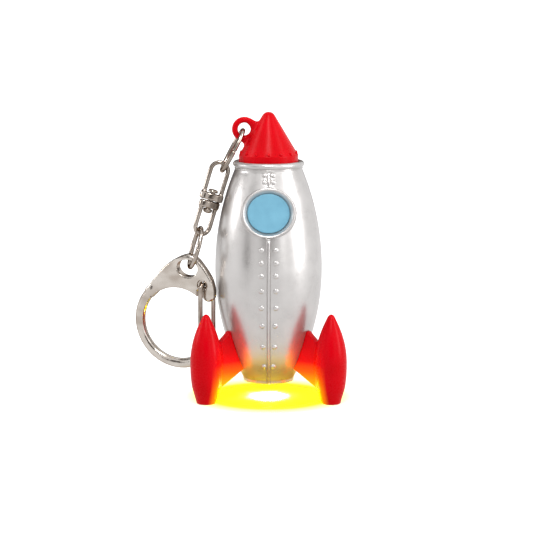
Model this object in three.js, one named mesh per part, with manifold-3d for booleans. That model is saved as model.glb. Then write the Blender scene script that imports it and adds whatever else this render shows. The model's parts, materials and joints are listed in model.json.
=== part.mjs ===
// Light-up space rocket key ring, in millimetres, +Z up.
// A silver plastic hull in two halves stands on three red fins. The red nose is a push button
// that carries an eyelet, and a nickel chain with a swivel and a snap clasp hangs from it.
// The rocket is drawn about its own axis, and the whole model is moved at the end so that
// the middle of its box stands on the origin.

import * as THREE from 'three';
import { mergeVertices } from 'three/addons/utils/BufferGeometryUtils.js';
import Module from 'manifold-3d';

const wasm = await Module();
wasm.setup();

// ---------------------------------------------------------------- driving dimensions

const GAP = 0.3;                  // air between neighbouring pieces
const TOTAL_HEIGHT = 80;          // floor to nose tip

const HULL_MAX_RADIUS = 14.9;
const HULL_EQUATOR_Z = 36.5;
const HULL_UPPER_ARC = 72;        // radius of the long curve above the equator
const HULL_LOWER_ARC = 65;        // radius of the long curve below the equator
const HULL_BOTTOM_Z = 4.7;
const HULL_NECK_Z = 63.6;
const WALL = 1.2;
const TAIL_RADIUS = 6.4;          // opening that the light shines through

const COLLAR_TOP_Z = 67.1;
const COLLAR_BEAD = 1.0;
const COLLAR_BORE = 8.55;

const NOSE_BASE_RADIUS = 8.2;
const NOSE_BASE_Z = 68.1;
const NOSE_TIP_ROUND = 2.0;
const NOSE_HALF_ANGLE = THREE.MathUtils.degToRad(30.7);
const NOSE_WALL = 1.5;
const NOSE_FLANGE_RADIUS = 8.85;
const NOSE_SKIRT_END_Z = 60.7;
const STEM_RADIUS = 1.5;

const EYELET = { x: -6.7, z: 75.2, hole: 1.75, outer: 3.4, thick: 1.9 };

const PORTHOLE = { z: 53.6, disc: 5.74, ridge: 7.25, outer: 7.6, squash: 0.943, sunk: 0.75, thick: 1.0 };

const RIB_WIDTH = 0.65;
const RIB_HEIGHT = 0.3;
const RIVET_RADIUS = 0.74;

const FIN_AZIMUTHS = { fin_left: 210, fin_right: 330, fin_rear: 90 };
const POD_CENTRE = 19.9;          // from the rocket's axis to a pod's axis
const POD_HEIGHT = 25;
const POD_RADIUS = 4.45;
const WEB_THICKNESS = 2.1;
const TAB = { thick: 1.4, low: 11.5, high: 16.5, depth: 2.2 };

const CELL = { radius: 5.8, height: 5.1, first: 20.0, count: 3 };
const FRAME = { inner: 6.15, outer: 7.25, bottom: 17.4, top: 50.6 };
const BOARD = { radius: 7.6, bottom: 50.9, thick: 1.0 };
const SCREW = { x: 9.8, z: 38, shank: 0.8, head: 1.8, boss: 2.2 };

const WIRE = 0.625;               // radius of the jump rings' wire
const STIRRUP_WIRE = 0.6;
const GATE_WIRE = 0.65;

// chain, in the rocket's own coordinates
const UPPER_RING = { top: [-7.08, 0, 74.88], bottom: [-12.85, -1.15, 63.85], across: [0.12, -0.99, 0], half: 3.2 };
const SWIVEL = { top: [-12.75, -1.2, 66.6], bottom: [-19.1, -2.6, 45.75], upperLength: 11.4, turn: 32 };
const LOWER_RING = { top: [-18.75, -2.9, 48.0], bottom: [-21.75, -4.05, 37.25], across: [0.2, -0.98, 0], half: 4.0 };
const CLASP = { eye: [-22.1, -3.5, 37.1], yaw: 22, lean: 6, thick: 2.6 };
const CLASP_RING = { u: -3.3, v: -16.25, inner: 10.35, outer: 13.3 };
const CLASP_PIVOT = { u: 4.5, v: -4.4 };

// ---------------------------------------------------------------- materials

const FINISHES = {
  silver: { color: 0xcdcac7, roughness: 0.35, metalness: 0.6 },
  red: { color: 0xd80014, roughness: 0.35, metalness: 0.0 },
  blue: { color: 0x72b5d2, roughness: 0.6, metalness: 0.0 },
  nickel: { color: 0xd0c1b4, roughness: 0.18, metalness: 1.0 },
  steel: { color: 0xb8babd, roughness: 0.3, metalness: 1.0 },
  white: { color: 0xe8e6e0, roughness: 0.5, metalness: 0.0 },
  green: { color: 0x1d6b3a, roughness: 0.5, metalness: 0.0 },
  black: { color: 0x1c1c1e, roughness: 0.5, metalness: 0.0 },
  amber: { color: 0xffd21e, roughness: 0.3, metalness: 0.0 },
  clear: { color: 0xf6f4ec, roughness: 0.1, metalness: 0.0 },
};

// ---------------------------------------------------------------- helpers

const rocket = new THREE.Group();

function add(name, finish, shape, parent = rocket) {
  const geometry = shape.isBufferGeometry ? shape : geometryOf(shape);
  const mesh = new THREE.Mesh(geometry, new THREE.MeshStandardMaterial(FINISHES[finish]));
  mesh.name = name;
  parent.add(mesh);
  return mesh;
}

// A closed three.js geometry as a solid that can be cut and joined.
function solid(geometry) {
  const bare = geometry.clone();
  bare.deleteAttribute('normal');
  bare.deleteAttribute('uv');
  const merged = mergeVertices(bare, 1e-4);
  const index = Array.from(merged.index.array);
  const triVerts = [];
  for (let i = 0; i < index.length; i += 3) {
    const [a, b, c] = index.slice(i, i + 3);
    if (a !== b && b !== c && c !== a) triVerts.push(a, b, c);
  }
  return new wasm.Manifold(new wasm.Mesh({
    numProp: 3,
    vertProperties: new Float32Array(merged.attributes.position.array),
    triVerts: new Uint32Array(triVerts),
  }));
}

function geometryOf(manifold) {
  const mesh = manifold.getMesh();
  const geometry = new THREE.BufferGeometry();
  geometry.setAttribute('position', new THREE.BufferAttribute(new Float32Array(mesh.vertProperties), 3));
  geometry.setIndex(new THREE.BufferAttribute(new Uint32Array(mesh.triVerts), 1));
  geometry.computeVertexNormals();
  return geometry;
}

// Points on an arc in the (radius, height) plane, angles in degrees.
function arc(r, z, radius, from, to, steps) {
  return Array.from({ length: steps + 1 }, (_, i) => {
    const angle = THREE.MathUtils.degToRad(from + (to - from) * i / steps);
    return [r + radius * Math.cos(angle), z + radius * Math.sin(angle)];
  });
}

// A body turned about +Z from a closed outline of [radius, height] points, listed anticlockwise.
function turned(outline, segments) {
  const onAxis = outline[0][0] === 0;
  const closed = onAxis ? outline : [...outline, outline[0]];
  const profile = closed.map(([r, z]) => new THREE.Vector2(r, z));
  return solid(new THREE.LatheGeometry(profile, segments).rotateX(Math.PI / 2));
}

function rod(radius, from, to, segments = 16) {
  return turned([[0, from], [radius, from], [radius, to], [0, to]], segments);
}

function block(x, y, z, width, depth, height) {
  return solid(new THREE.BoxGeometry(width, depth, height)).translate([x, y, z]);
}

// A round wire along a curve.
function wire(curve, radius, steps, sides = 8) {
  const section = new THREE.Shape();
  section.absarc(0, 0, radius, 0, 2 * Math.PI, false);
  const geometry = new THREE.ExtrudeGeometry(section, {
    extrudePath: curve,
    steps,
    curveSegments: sides / 2,
    bevelEnabled: false,
  });
  return solid(geometry);
}

function smoothCurve(points, tension = 0.5) {
  return new THREE.CatmullRomCurve3(points.map((p) => new THREE.Vector3(...p)), false, 'catmullrom', tension);
}

// A group whose own X, Y and Z axes lie along the given directions.
function placed(origin, xAxis, yAxis, zAxis) {
  const group = new THREE.Group();
  group.quaternion.setFromRotationMatrix(new THREE.Matrix4().makeBasis(xAxis, yAxis, zAxis));
  group.position.copy(origin);
  rocket.add(group);
  return group;
}

// ---------------------------------------------------------------- hull

function hullRadius(z) {
  const big = z > HULL_EQUATOR_Z ? HULL_UPPER_ARC : HULL_LOWER_ARC;
  return HULL_MAX_RADIUS - big + Math.sqrt(big ** 2 - (z - HULL_EQUATOR_Z) ** 2);
}

function hullCurve(offset, from, to, steps) {
  return Array.from({ length: steps + 1 }, (_, i) => {
    const z = from + (to - from) * i / steps;
    return [hullRadius(z) + offset, z];
  });
}

// The solid inside the hull's outer surface, grown by an offset: used to trim what meets the hull.
function hullEnvelope(offset) {
  return turned([[0, 0], ...hullCurve(offset, 5, HULL_NECK_Z, 13), [0, HULL_NECK_Z]], 36);
}

// Position and direction of the surface in the middle of the porthole.
const portholeSlope = Math.asin((PORTHOLE.z - HULL_EQUATOR_Z) / HULL_UPPER_ARC);
const portholeTilt = 90 - THREE.MathUtils.radToDeg(portholeSlope);

function onPorthole(shape) {
  return shape
    .scale([1, PORTHOLE.squash, 1])
    .rotate([portholeTilt, 0, 0])
    .translate([0, -hullRadius(PORTHOLE.z), PORTHOLE.z]);
}

function portholeBoss() {
  const back = -PORTHOLE.sunk - PORTHOLE.thick - GAP - WALL;
  return onPorthole(turned([
    [0, back],
    [PORTHOLE.disc + 1.2, back],
    [PORTHOLE.outer, -1.8],
    [PORTHOLE.outer, -0.7],
    [PORTHOLE.outer - 0.05, -0.25],
    [PORTHOLE.ridge + 0.1, 0],
    [PORTHOLE.ridge - 0.3, -0.1],
    [0, -0.1],
  ], 40));
}

function portholePocket() {
  const floor = -PORTHOLE.sunk - PORTHOLE.thick - GAP;
  return onPorthole(turned([
    [0, floor],
    [PORTHOLE.disc + GAP, floor],
    [PORTHOLE.disc + GAP, -PORTHOLE.sunk - 0.1],
    [PORTHOLE.ridge - 0.3, 0.2],
    [0, 0.2],
  ], 40));
}

// Heights of the rivet pairs and their distance from the centre rib.
const RIVET_PAIRS = [
  [63.0, 1.35], [61.2, 1.2], [43.5, 2.0], [39.95, 2.0], [36.35, 2.0], [32.1, 2.0],
  [27.3, 2.0], [22.25, 1.75], [16.1, 1.6], [10.2, 1.25],
];

function rivet(x, z) {
  const y = -Math.sqrt(hullRadius(z) ** 2 - x ** 2) + RIVET_RADIUS * 0.45;
  return solid(new THREE.SphereGeometry(RIVET_RADIUS, 7, 4)).translate([x, y, z]);
}

function rib() {
  const outside = hullCurve(RIB_HEIGHT, 6, HULL_NECK_Z, 12);
  const inside = hullCurve(-WALL / 2, HULL_NECK_Z, 6, 12);
  const skin = turned([...outside, ...inside], 96);
  return skin.intersect(block(0, -HULL_MAX_RADIUS, 35, RIB_WIDTH, 2 * HULL_MAX_RADIUS - 6, 80));
}

function screwBoss(side) {
  return rod(SCREW.boss, 0, 13, 14)
    .rotate([side > 0 ? 90 : -90, 0, 0])
    .intersect(block(0, 0, 0, 40, 40, 40).subtract(block(0, 0, 0, 40, 2.2, 40)));
}

function bareHull() {
  return turned([
    [TAIL_RADIUS, HULL_BOTTOM_Z],
    [TAIL_RADIUS + 0.4, HULL_BOTTOM_Z + 0.05],
    [7.1, 5.2],
    ...hullCurve(0, 5.9, HULL_NECK_Z, 13),
    [9.45, 63.9],
    [9.72, 64.5],
    [9.5, 65.1],
    ...arc(8.9, COLLAR_TOP_Z - COLLAR_BEAD, COLLAR_BEAD, -40, 90, 5),
    [COLLAR_BORE, COLLAR_TOP_Z - 0.2],
    [COLLAR_BORE, 62.3],
    ...hullCurve(-WALL, 61.9, 7.2, 8),
    [TAIL_RADIUS, 5.6],
  ], 36);
}

function tabSlot(azimuth) {
  return block(hullRadius(14), 0, (TAB.low + TAB.high) / 2, 7, TAB.thick + 2 * GAP, TAB.high - TAB.low + 2 * GAP)
    .rotate([0, 0, azimuth]);
}

// Half of the hull: side is -1 for the front and +1 for the rear.
function hullHalf(side) {
  let body = bareHull();
  if (side < 0) {
    body = body.add(portholeBoss()).add(rib().subtract(onPorthole(rod(PORTHOLE.outer, -4, 2, 40))));
    for (const [z, x] of RIVET_PAIRS) body = body.add(rivet(x, z)).add(rivet(-x, z));
    body = body.subtract(portholePocket());
  }
  const inside = hullEnvelope(-WALL / 2);
  for (const x of [-SCREW.x, SCREW.x]) {
    body = body.add(screwBoss(-side).translate([x, 0, SCREW.z]).intersect(inside));
  }
  for (const x of [-SCREW.x, SCREW.x]) {
    const hole = side < 0 ? rod(SCREW.shank + GAP, 0, 7, 12) : rod(SCREW.shank + GAP, 0, 15, 12);
    body = body.subtract(hole.rotate([side < 0 ? 90 : -90, 0, 0]).translate([x, 0, SCREW.z]));
    if (side > 0) {
      const well = rod(SCREW.head + GAP, 6.2, 15, 16).rotate([-90, 0, 0]);
      body = body.subtract(well.translate([x, 0, SCREW.z]));
    }
  }
  for (const azimuth of Object.values(FIN_AZIMUTHS)) body = body.subtract(tabSlot(azimuth));
  const keep = block(0, side * (25 + GAP / 2), 35, 60, 50, 80);
  return body.intersect(keep);
}

function portholeWindow() {
  const face = -PORTHOLE.sunk;
  const back = face - PORTHOLE.thick;
  return onPorthole(turned([
    [0, back],
    [PORTHOLE.disc - 0.2, back],
    [PORTHOLE.disc, back + 0.2],
    [PORTHOLE.disc, face - 0.15],
    [PORTHOLE.disc - 0.15, face],
    [0, face],
  ], 40));
}

add('hull_front', 'silver', hullHalf(-1));
add('hull_rear', 'silver', hullHalf(1));
add('porthole_window', 'blue', portholeWindow());

// ---------------------------------------------------------------- nose button

function noseOutline(baseRadius, baseZ) {
  const tipCentre = TOTAL_HEIGHT - NOSE_TIP_ROUND;
  const tangent = THREE.MathUtils.radToDeg(NOSE_HALF_ANGLE);
  const tip = arc(0, tipCentre, NOSE_TIP_ROUND, tangent, 90, 4).slice(0, -1);
  return [[baseRadius, baseZ], ...tip, [0, TOTAL_HEIGHT]];
}

function noseSolid() {
  return turned([
    [0, NOSE_SKIRT_END_Z],
    [NOSE_FLANGE_RADIUS, NOSE_SKIRT_END_Z],
    [NOSE_FLANGE_RADIUS, NOSE_SKIRT_END_Z + 1.0],
    [NOSE_BASE_RADIUS, NOSE_SKIRT_END_Z + 1.1],
    ...noseOutline(NOSE_BASE_RADIUS, NOSE_BASE_Z),
  ], 36);
}

function noseHollow() {
  return turned([
    [STEM_RADIUS, NOSE_SKIRT_END_Z - 1],
    [NOSE_BASE_RADIUS - NOSE_WALL, NOSE_SKIRT_END_Z - 1],
    [NOSE_BASE_RADIUS - NOSE_WALL, NOSE_BASE_Z - 0.8],
    [STEM_RADIUS + 0.4, 75.2],
    [STEM_RADIUS, 75.2],
  ], 24);
}

function eyelet() {
  const middle = (EYELET.outer + EYELET.hole) / 2;
  const tube = (EYELET.outer - EYELET.hole) / 2;
  const ring = solid(new THREE.TorusGeometry(middle, tube, 8, 22))
    .scale([1, 1, EYELET.thick / (2 * tube)])
    .rotate([90, 0, 0])
    .translate([EYELET.x, 0, EYELET.z]);
  const root = new THREE.Shape([
    new THREE.Vector2(-8.3, 72.6),
    new THREE.Vector2(-6.3, 71.2),
    new THREE.Vector2(-2.5, 72),
    new THREE.Vector2(-2.5, 76.5),
    new THREE.Vector2(-5.2, 78.0),
  ]);
  const web = solid(new THREE.ExtrudeGeometry(root, { depth: 1.3, bevelEnabled: false }))
    .rotate([90, 0, 0])
    .translate([0, 0.65, 0]);
  const hole = rod(EYELET.hole, -3, 3, 24).rotate([90, 0, 0]).translate([EYELET.x, 0, EYELET.z]);
  return ring.add(web).subtract(hole);
}

// The stem hangs from the inside of the nose down to the switch.
function noseStem() {
  return rod(STEM_RADIUS, BOARD.bottom + 6.0, 74, 16);
}

add('nose_cone', 'red', noseSolid().add(eyelet()).subtract(noseHollow()).add(noseStem()));

class Helix extends THREE.Curve {
  constructor(radius, low, high, turns) {
    super();
    Object.assign(this, { radius, low, high, turns });
  }

  getPoint(t, target = new THREE.Vector3()) {
    const angle = 2 * Math.PI * this.turns * t;
    const z = this.low + (this.high - this.low) * t;
    return target.set(this.radius * Math.cos(angle), this.radius * Math.sin(angle), z);
  }
}

// The spring sits on the board round the switch and pushes up under the nose.
const SPRING = { radius: 5.4, wire: 0.3, low: BOARD.bottom + BOARD.thick + 0.65, high: 67.2, turns: 4 };
add('button_spring', 'steel', wire(new Helix(SPRING.radius, SPRING.low, SPRING.high, SPRING.turns), SPRING.wire, 52, 6));

// ---------------------------------------------------------------- fins

function podOutline() {
  const points = [
    [0, 0], [2.55, 0], [2.8, 0.35], [3.3, 2.1], [3.9, 4.2], [4.32, 7.3], [POD_RADIUS, 10.6],
    [4.35, 13.7], [3.9, 16.6], [3.25, 19.0], [2.45, 21.2], [1.45, 23.4], [0.9, 24.5], [0.45, 24.9],
  ];
  return [...points, [0, POD_HEIGHT]];
}

function fin(azimuth) {
  const outline = new THREE.Shape();
  outline.moveTo(7.2, 8.7);
  outline.lineTo(8.3, 8.7);
  outline.lineTo(15.6, 4.0);
  outline.lineTo(POD_CENTRE, 4.5);
  outline.lineTo(POD_CENTRE, 15);
  outline.lineTo(16.4, 16.4);
  outline.lineTo(13.5, 19.0);
  outline.quadraticCurveTo(12.7, 19.9, 11.9, 19.3);
  outline.lineTo(7.2, 14);
  const round = 0.45;
  const plate = solid(new THREE.ExtrudeGeometry(outline, {
    depth: WEB_THICKNESS - 2 * round,
    bevelThickness: round,
    bevelSize: round,
    bevelOffset: -round,
    bevelSegments: 2,
    curveSegments: 4,
  }));
  const web = plate
    .rotate([90, 0, 0])
    .translate([0, WEB_THICKNESS / 2 - round, 0])
    .subtract(hullEnvelope(GAP));
  const tabCentre = (TAB.low + TAB.high) / 2;
  const tabInner = hullRadius(TAB.low) - TAB.depth;
  const tab = block((tabInner + 15) / 2, 0, tabCentre, 15 - tabInner, TAB.thick, TAB.high - TAB.low);
  const pod = turned(podOutline(), 20).translate([POD_CENTRE, 0, 0]);
  return pod.add(web).add(tab).rotate([0, 0, azimuth]);
}

for (const [name, azimuth] of Object.entries(FIN_AZIMUTHS)) add(name, 'red', fin(azimuth));

// ---------------------------------------------------------------- light in the tail

const LAMP = { radius: 2.5, tip: 6.4, shoulder: 8.9, base: 14.6, flange: 2.9 };

function tailLens() {
  return turned([
    [LAMP.radius + 0.5, HULL_BOTTOM_Z + 0.8],
    [TAIL_RADIUS - GAP, HULL_BOTTOM_Z + 0.8],
    [TAIL_RADIUS - GAP, 5.9],
    [hullRadius(7.2) - WALL - GAP - 0.12, 7.2],
    [hullRadius(8.4) - WALL - GAP - 0.05, 8.4],
    [hullRadius(8.4) - WALL - GAP - 0.8, 8.4],
    [TAIL_RADIUS - GAP - 0.8, 6.9],
    [LAMP.radius + 0.5, 6.9],
  ], 32);
}

function lamp() {
  return turned([
    ...arc(0, LAMP.shoulder, LAMP.radius, -90, 0, 4).map(([r, z], i) => (i === 0 ? [0, z] : [r, z])),
    [LAMP.radius, LAMP.base - 1],
    [LAMP.flange, LAMP.base - 1],
    [LAMP.flange, LAMP.base],
    [0, LAMP.base],
  ], 20);
}

function lampLead(side) {
  return rod(0.3, LAMP.base + GAP, FRAME.bottom + 1.2, 8).translate([side * 1.27, 0, 0]);
}

add('tail_lens', 'amber', tailLens());
add('lamp', 'clear', lamp());
add('lamp_lead_left', 'steel', lampLead(-1));
add('lamp_lead_right', 'steel', lampLead(1));

// ---------------------------------------------------------------- battery frame and cells

function cellBottom(i) {
  return CELL.first + i * (CELL.height + GAP);
}

const cellsTop = cellBottom(CELL.count - 1) + CELL.height;

function cell(i) {
  const low = cellBottom(i);
  const high = low + CELL.height;
  return turned([
    [0, low],
    [CELL.radius - 1.2, low],
    [CELL.radius - 0.9, low + 0.5],
    [CELL.radius, low + 0.5],
    [CELL.radius, high - 0.3],
    [CELL.radius - 0.3, high],
    [0, high],
  ], 24);
}

function frame() {
  const tube = turned([
    [FRAME.inner, FRAME.bottom], [FRAME.outer, FRAME.bottom], [FRAME.outer, FRAME.top], [FRAME.inner, FRAME.top],
  ], 24);
  const floor = rod(FRAME.inner + 0.3, FRAME.bottom, FRAME.bottom + 1.4, 24);
  const deck = rod(FRAME.inner + 0.3, cellsTop + 1.1, cellsTop + 2.3, 24);
  let body = tube.add(floor).add(deck);
  for (const side of [-1, 1]) {
    body = body.add(block(side * (SCREW.x - 0.85), 0, SCREW.z + 0.2, 5.3, 1.6, 3.9));
    body = body.subtract(rod(SCREW.shank + GAP, -3, 3, 12).rotate([90, 0, 0]).translate([side * SCREW.x, 0, SCREW.z]));
    body = body.subtract(rod(0.7, 0, FRAME.bottom + 2, 10).translate([side * 1.27, 0, 0]));
  }
  const cellWindow = block(0, -8, (FRAME.bottom + 1.4 + cellsTop + 1.1) / 2, 11, 10, cellsTop - FRAME.bottom - 0.3);
  const upperWindowX = block(0, 0, 45, 20, 8, 6.5);
  const upperWindowY = block(0, 0, 45, 8, 20, 6.5);
  return body.subtract(cellWindow).subtract(upperWindowX).subtract(upperWindowY);
}

function contact(low) {
  return rod(4.2, low, low + 0.4, 20);
}

add('battery_frame', 'white', frame());
for (let i = 0; i < CELL.count; i += 1) add(`coin_cell_${i + 1}`, 'steel', cell(i));
add('contact_lower', 'steel', contact(CELL.first - GAP - 0.4));
add('contact_upper', 'steel', contact(cellsTop + GAP));

// ---------------------------------------------------------------- circuit board and switch

const boardTop = BOARD.bottom + BOARD.thick;
const SWITCH = { width: 6.0, height: 3.2, plunger: 1.6 };

add('circuit_board', 'green', rod(BOARD.radius, BOARD.bottom, boardTop, 28));
add('switch_body', 'black', block(0, 0, boardTop + GAP + SWITCH.height / 2, SWITCH.width, SWITCH.width, SWITCH.height)
  .subtract(rod(SWITCH.plunger + GAP, boardTop + 1.4, boardTop + 6, 16)));
add('switch_plunger', 'white', rod(SWITCH.plunger, boardTop + 2.6, BOARD.bottom + 6.0 - GAP, 16));
add('resistor', 'blue', rod(0.75, -1.7, 1.7, 10).rotate([0, 90, 0]).translate([0, 6.9, boardTop + GAP + 0.75]));

function lead(side) {
  const x = side * 2.2;
  return smoothCurve([
    [x, 8.5, BOARD.bottom - 0.6],
    [x, 8.9, 46],
    [x, 8.9, 36],
    [x, 8.8, 26],
    [x, 8.6, 20.5],
    [x, 8.1, 17.3],
    [x * 0.9, 6.2, 16.1],
    [x * 0.8, 3.6, 16.0],
    [x * 0.75, 1.6, 16.2],
  ]);
}

add('wire_red', 'red', wire(lead(-1), 0.5, 26, 6));
add('wire_black', 'black', wire(lead(1), 0.5, 26, 6));

function screw() {
  return turned([
    [0, -6.4], [SCREW.shank, -5.9], [SCREW.shank, 6.5], [SCREW.head, 6.5], [SCREW.head, 7.5],
    [1.2, 7.95], [0.6, 7.95], [0.6, 7.3], [0, 7.3],
  ], 16).rotate([-90, 0, 0]);
}

add('screw_left', 'steel', screw().translate([-SCREW.x, 0, SCREW.z]));
add('screw_right', 'steel', screw().translate([SCREW.x, 0, SCREW.z]));

// ---------------------------------------------------------------- chain

// An oval ring of wire whose two ends meet at one side with a hair's breadth between them.
class Oval extends THREE.Curve {
  constructor(halfWidth, halfLength, slit) {
    super();
    Object.assign(this, { halfWidth, halfLength, slit });
  }

  getPoint(t, target = new THREE.Vector3()) {
    const angle = this.slit + (2 * Math.PI - 2 * this.slit) * t;
    return target.set(this.halfWidth * Math.cos(angle), 0, this.halfLength * Math.sin(angle));
  }
}

// The group's X runs across the piece, its Z up along it, from bottom to top.
function linkFrame(top, bottom, across) {
  const high = new THREE.Vector3(...top);
  const low = new THREE.Vector3(...bottom);
  const zAxis = high.clone().sub(low).normalize();
  const yAxis = zAxis.clone().cross(new THREE.Vector3(...across)).normalize();
  const xAxis = yAxis.clone().cross(zAxis);
  return { high, low, zAxis, yAxis, xAxis, length: high.distanceTo(low) };
}

function jumpRing(name, ring) {
  const link = linkFrame(ring.top, ring.bottom, ring.across);
  const group = placed(link.high.clone().add(link.low).multiplyScalar(0.5), link.xAxis, link.yAxis, link.zAxis);
  add(name, 'nickel', wire(new Oval(ring.half, link.length / 2, 0.035), WIRE, 30), group);
}

// A stirrup: a wire bow of the given half width that stands on a flat plate at height zero.
function stirrup(halfWidth, height, plateHeight) {
  const straight = height - STIRRUP_WIRE - halfWidth;
  const bow = smoothCurve([
    [-halfWidth, 0, 0.2],
    [-halfWidth, 0, straight * 0.5],
    [-halfWidth, 0, straight],
    ...arc(0, straight, halfWidth, 150, 30, 4).map(([x, z]) => [x, 0, z]),
    [halfWidth, 0, straight],
    [halfWidth, 0, straight * 0.5],
    [halfWidth, 0, 0.2],
  ]);
  const outline = new THREE.Shape();
  outline.absellipse(0, 0, halfWidth + STIRRUP_WIRE + 0.2, 1.75, 0, 2 * Math.PI, false);
  const plate = solid(new THREE.ExtrudeGeometry(outline, {
    depth: plateHeight,
    bevelEnabled: false,
    curveSegments: 9,
  }));
  return wire(bow, STIRRUP_WIRE, 22).add(plate).subtract(rod(0.75 + GAP, -1, plateHeight + 1, 14));
}

function swivel() {
  const link = linkFrame(SWIVEL.top, SWIVEL.bottom, [1, 0, 0]);
  const group = placed(link.high, link.xAxis, link.yAxis, link.zAxis);
  const plate = 1.9;
  const upper = stirrup(2.4, SWIVEL.upperLength, plate).translate([0, 0, -SWIVEL.upperLength]);
  const lowerLength = link.length - SWIVEL.upperLength - GAP;
  const lower = stirrup(2.3, lowerLength, plate)
    .rotate([180, 0, 0])
    .rotate([0, 0, SWIVEL.turn])
    .translate([0, 0, -SWIVEL.upperLength - GAP]);
  const rivetPin = turned([
    [0, -1.2], [0.9, -1.1], [1.3, -0.6], [1.3, 0], [0.75, 0],
    [0.75, 2 * plate + 3 * GAP], [1.35, 2 * plate + 3 * GAP], [1.2, 2 * plate + 3 * GAP + 0.7],
    [0, 2 * plate + 3 * GAP + 0.9],
  ], 14).translate([0, 0, -SWIVEL.upperLength - 2 * GAP - plate]);
  add('swivel_upper', 'nickel', upper, group);
  add('swivel_lower', 'nickel', lower, group);
  add('swivel_rivet', 'nickel', rivetPin, group);
}

jumpRing('jump_ring_upper', UPPER_RING);
swivel();
jumpRing('jump_ring_lower', LOWER_RING);

// ---------------------------------------------------------------- snap clasp

// The clasp is drawn in its own plane: u to the right, v up, n towards its face.
function claspGroup() {
  const yaw = THREE.MathUtils.degToRad(CLASP.yaw);
  const lean = THREE.MathUtils.degToRad(CLASP.lean);
  const v = new THREE.Vector3(0, -Math.sin(lean), Math.cos(lean));
  const n = new THREE.Vector3(-Math.sin(yaw), -Math.cos(yaw) * Math.cos(lean), -Math.cos(yaw) * Math.sin(lean));
  const u = v.clone().cross(n);
  return placed(new THREE.Vector3(...CLASP.eye), u, v, n);
}

class RingArc extends THREE.Curve {
  constructor(radius, from, to) {
    super();
    Object.assign(this, { radius, from, to });
  }

  getPoint(t, target = new THREE.Vector3()) {
    const angle = THREE.MathUtils.degToRad(this.from + (this.to - this.from) * t);
    const x = CLASP_RING.u + this.radius * Math.cos(angle);
    return target.set(x, CLASP_RING.v + this.radius * Math.sin(angle), 0);
  }
}

function gateCurve() {
  const { u, v } = CLASP_PIVOT;
  const front = 2.45;
  const back = -2.35;
  const backU = u + 1.75;
  return smoothCurve([
    [u, v, 0.55],
    [u, v, 1.5],
    [u, v - 0.35, front - 0.1],
    [u, v - 1.4, front],
    [u - 0.05, v - 9, front],
    [u - 0.07, v - 15.8, front],
    [u + 0.15, v - 17.4, front - 0.4],
    [u + 0.6, v - 18.1, front - 1.5],
    [u + 1.1, v - 18.1, back + 1.5],
    [u + 1.6, v - 17.4, back + 0.4],
    [backU, v - 15.8, back],
    [backU, v - 9, back],
    [backU, v - 4.6, back],
    [u + 0.9, v - 2.2, back],
    [u, v - 0.7, back + 0.1],
    [u, v, -1.45],
    [u, v, -0.55],
  ], 0.4);
}

function claspOutline() {
  const shape = new THREE.Shape();
  const { u, v, inner, outer } = CLASP_RING;
  const left = THREE.MathUtils.degToRad(138);
  shape.absarc(u, v, inner, THREE.MathUtils.degToRad(54), left, false);
  shape.lineTo(u + outer * Math.cos(left), v + outer * Math.sin(left));
  shape.splineThru([
    new THREE.Vector2(-8.3, -1.4),
    new THREE.Vector2(-4.4, 2.0),
    new THREE.Vector2(-0.9, 3.7),
    new THREE.Vector2(1.2, 3.75),
    new THREE.Vector2(3.2, 2.45),
    new THREE.Vector2(5.4, -0.1),
    new THREE.Vector2(7.1, -2.8),
    new THREE.Vector2(7.85, -5.5),
    new THREE.Vector2(7.95, -7.3),
  ]);
  shape.absarc(6.15, -7.3, 1.8, 0, -Math.PI, true);
  shape.lineTo(4.35, -6.6);
  shape.absarc(3.6, -6.6, 0.75, 0, Math.PI, false);
  const eye = new THREE.Path();
  eye.absellipse(0, 0, 3.1, 2.45, 0, 2 * Math.PI, false);
  shape.holes.push(eye);
  return shape;
}

function claspBody() {
  const round = 0.45;
  const { inner, outer } = CLASP_RING;
  const plate = solid(new THREE.ExtrudeGeometry(claspOutline(), {
    depth: CLASP.thick - 2 * round,
    bevelThickness: round,
    bevelSize: round,
    bevelOffset: -round,
    bevelSegments: 1,
    curveSegments: 4,
  })).translate([0, 0, round - CLASP.thick / 2]);
  const section = new THREE.Shape();
  section.absellipse(0, 0, (outer - inner) / 2, CLASP.thick / 2, 0, 2 * Math.PI, false);
  const bar = solid(new THREE.ExtrudeGeometry(section, {
    extrudePath: new RingArc((inner + outer) / 2, -37, -225),
    steps: 24,
    curveSegments: 5,
    bevelEnabled: false,
  }));
  const { u, v } = CLASP_PIVOT;
  let body = plate.add(bar).subtract(rod(GATE_WIRE + GAP, -2, 2, 14).translate([u, v, 0]));
  body = body.subtract(rod(1.5, 0.9, 2, 18).translate([u, v, 0]));
  const sweep = wire(gateCurve(), GATE_WIRE + 0.33, 36, 6);
  for (const angle of [-12, -4, 0]) {
    body = body.subtract(sweep.translate([-u, -v, 0]).rotate([0, 0, angle]).translate([u, v, 0]));
  }
  return body;
}

const clasp = claspGroup();
add('clasp_body', 'nickel', claspBody(), clasp);
add('clasp_gate', 'nickel', wire(gateCurve(), GATE_WIRE, 40), clasp);

// ---------------------------------------------------------------- stand on the origin

const model = new THREE.Group();
model.add(rocket);
rocket.updateMatrixWorld(true);
const box = new THREE.Box3().setFromObject(rocket, true);
const middle = box.getCenter(new THREE.Vector3());
rocket.position.set(-middle.x, -middle.y, -box.min.z);

export default model;
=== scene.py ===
# %% [markdown]
# # A space rocket key ring light
# This lesson dresses a small promotional toy: a moulded rocket about 80 mm tall that stands
# on three red fins, lights up under its tail when its red nose is pressed, and hangs from a
# nickel chain with a swivel and a snap clasp. The frame file holds the exact solids and how they
# move. Each visible solid gets a finer skin here, made in millimetres round the rocket's own axis
# and then put in its place in metres.

import json
import math

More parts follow.
